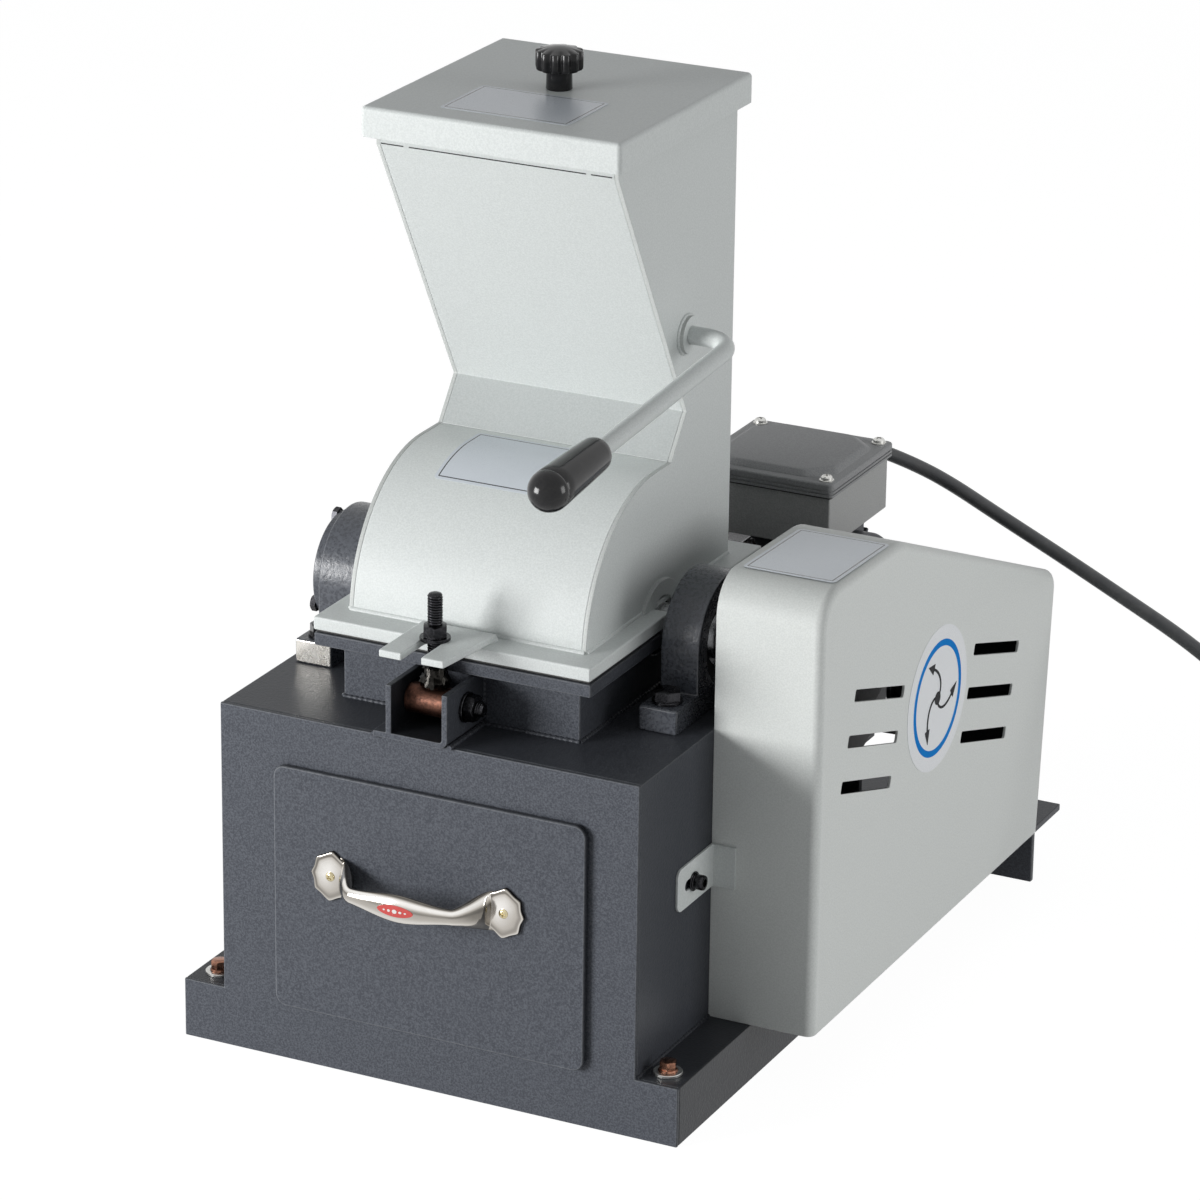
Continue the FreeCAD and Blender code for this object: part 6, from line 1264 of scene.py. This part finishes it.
# Fold slits under the lid, drawn as thin dark strips on the sheet: painted shade for the openings
def fold_slits():
    shape = bmesh.new()
    for x0, x1 in ((-81.5, -65.5), (-61.5, 62.5), (66.0, 80.5)):
        low = at(x0, 91.85, 600.2)
        high = at(x1, 92.6, 600.9)
        bmesh.ops.create_cube(shape, size=1.0, matrix=Matrix.Translation((low + high) / 2) @
                              Matrix.Diagonal((*(high - low), 1)))
    place(from_bmesh("fold_slits", shape, "shadow_gap", 0), "machine", "light_paint")


fold_slits()


# Plates: blank labels with a thin dark border, each drawn on its surface
def film_on(name, surface, outlines, thick, finishes, cuts=1):
    """A film on a surface: outlines in plate coordinates from the edge inwards, a finish for each band and the
    field; surface(u, v, lift) gives a point's place."""
    flat = bmesh.new()
    loops = [[flat.verts.new((u, v, 0)) for u, v in outline] for outline in outlines]
    for index, (outer, inner) in enumerate(zip(loops, loops[1:])):
        for step in range(len(outer)):
            after = (step + 1) % len(outer)
            flat.faces.new((outer[step], outer[after], inner[after], inner[step])).material_index = index
    flat.faces.new(loops[-1]).material_index = len(loops) - 1
    outline = outlines[0]
    low = min(v for u, v in outline)
    high = max(v for u, v in outline)
    for index in range(1, cuts):
        level = low + (high - low) * index / cuts
        everything = list(flat.verts) + list(flat.edges) + list(flat.faces)
        bmesh.ops.bisect_plane(flat, geom=everything, plane_co=(0, level, 0), plane_no=(0, 1, 0))
    result = bmesh.ops.extrude_face_region(flat, geom=list(flat.faces))
    raised = {item for item in result["geom"] if isinstance(item, bmesh.types.BMVert)}
    for vert in flat.verts:
        vert.co = surface(vert.co.x, vert.co.y, thick if vert in raised else 0.02)
    bmesh.ops.recalc_face_normals(flat, faces=flat.faces)
    film = from_bmesh(name, flat, None, 40)
    for finish in finishes:
        film.data.materials.append(FINISH[finish])
    return film


def blank_label(name, surface, width, height, body, cuts=1, corner=3.0, border=2.2, line=0.9):
    outlines = [rounded_outline(width, height, corner, inset) for inset in (0, border, border + line)]
    place(film_on(name, surface, outlines, 0.25, ("label", "label_line", "label"), cuts), body)


def lid_surface(u, v, lift):
    return at(-1 + u, 132.5 + v, LID_TOP + lift)


def hood_surface(u, v, lift):
    """Round the front of the hood, then flat towards the throat."""
    run = v - 15.0
    if run > 0:
        return at(-15 + u, HOOD_Y + run, HOOD_Z + HOOD_RADIUS + lift)
    angle = pi / 2 + run / HOOD_RADIUS
    reach = HOOD_RADIUS + lift
    return at(-15 + u, HOOD_Y - reach * cos(angle), HOOD_Z + reach * sin(angle))


def guard_surface(u, v, lift):
    y = 131.0 + (v + 46.5) * cos(math.atan2(GUARD_FALL, GUARD_RUN))
    z = GUARD_TOP - max(y - 134.0, 0) * GUARD_FALL / GUARD_RUN
    return at(187.5 + u, y, z + lift)


blank_label("lid_plate", lid_surface, 90, 59, "lid")
blank_label("hood_plate", hood_surface, 72, 65, "machine", cuts=20)
blank_label("guard_plate", guard_surface, 64, 88, "machine")


# Round plate on the guard: white film, blue ring, three plain turning arrows
def disc_plate():
    def disc_surface(u, v, lift):
        return at(GUARD_FACE_X + lift, 299.2 + u, 209.8 + v)

    def circle(radius, points):
        return [(radius * cos(angle), radius * sin(angle)) for angle in around(points)]

    def spot(turn, share, aside):
        """A point of an arrow, share of the way out and so far to one side of its line."""
        reach = 4 + 28 * share
        angle = radians(turn - 82 * (1 - share) ** 1.4)
        ahead = radians(turn - 82 * (1 - min(share + 0.02, 1)) ** 1.4)
        line = Vector(((reach + 0.56) * cos(ahead) - reach * cos(angle),
                       (reach + 0.56) * sin(ahead) - reach * sin(angle))).normalized()
        return (reach * cos(angle) - line.y * aside, reach * sin(angle) + line.x * aside)

    rings = [circle(radius, 96) for radius in (50.0, 40.2, 35.6)]
    pieces = [film_on("disc_film", disc_surface, rings, 0.25, ("disc_film", "disc_blue", "disc_film")),
              film_on("disc_hub", disc_surface, [circle(4.6, 24)], 0.5, ("disc_ink",))]
    for turn in (2, 122, 242):
        shares = [step / 14 for step in range(11)]
        left = [spot(turn, share, 0.9) for share in shares]
        right = [spot(turn, share, -0.9) for share in shares]
        head = [spot(turn, 0.72, 3.8), spot(turn, 1.0, 0), spot(turn, 0.72, -3.8)]
        pieces.append(film_on("disc_arrow", disc_surface, [left + head + right[::-1]], 0.5, ("disc_ink",)))
    place(joined("guard_disc", pieces), "machine")


disc_plate()


# Floor, light and world
def seen_directly(tree):
    """1 for what the camera, a mirror or glass shows, 0 for light that falls on the object."""
    path = add(tree, "ShaderNodeLightPath")
    return math_node(tree, "MAXIMUM", path.outputs["Is Camera Ray"],
                     math_node(tree, "MAXIMUM", path.outputs["Is Glossy Ray"], path.outputs["Is Transmission Ray"]))


def lamp(name, spot, aim, size, power):
    data = bpy.data.lights.new(name, "AREA")
    data.shape = "RECTANGLE"
    data.size, data.size_y = size
    data.energy = power
    softbox = linked(name, data)
    softbox.location = spot
    softbox.rotation_mode = "QUATERNION"
    softbox.rotation_quaternion = (Vector(aim) - Vector(spot)).to_track_quat("-Z", "Y")


def studio():
    shape = bmesh.new()
    bmesh.ops.create_grid(shape, x_segments=1, y_segments=1, size=30)
    floor = from_bmesh("floor", shape, None, 0)
    material = bpy.data.materials.new("pale_floor")
    tree = fresh_tree(material)
    matt = add(tree, "ShaderNodeBsdfDiffuse", {"Color": (0.62, 0.62, 0.62, 1)})
    glow = add(tree, "ShaderNodeEmission", {"Color": (1, 1, 1, 1), "Strength": 1.15})
    share = times(tree, seen_directly(tree), 0.84)
    both = add(tree, "ShaderNodeMixShader", {0: share, 1: matt.outputs[0], 2: glow.outputs[0]})
    add(tree, "ShaderNodeOutputMaterial", {"Surface": both.outputs[0]})
    floor.data.materials.append(material)

    world = bpy.data.worlds.new("studio")
    bpy.context.scene.world = world
    tree = fresh_tree(world)
    room = add(tree, "ShaderNodeBackground", {"Color": (0.96, 0.98, 1.0, 1), "Strength": 0.24})
    white = add(tree, "ShaderNodeBackground", {"Color": (1, 1, 1, 1), "Strength": 1.0})
    both = add(tree, "ShaderNodeMixShader", {0: seen_directly(tree), 1: room.outputs[0], 2: white.outputs[0]})
    add(tree, "ShaderNodeOutputWorld", {"Surface": both.outputs[0]})
    lamp("left_softbox", (-1.95, -2.3, 0.72), (0, 0, 0.3), (1.3, 1.1), 97)
    lamp("right_softbox", (2.5, 0.35, 0.80), (0, 0, 0.25), (1.0, 1.2), 21)


studio()
bpy.context.scene.view_settings.view_transform = "Standard"
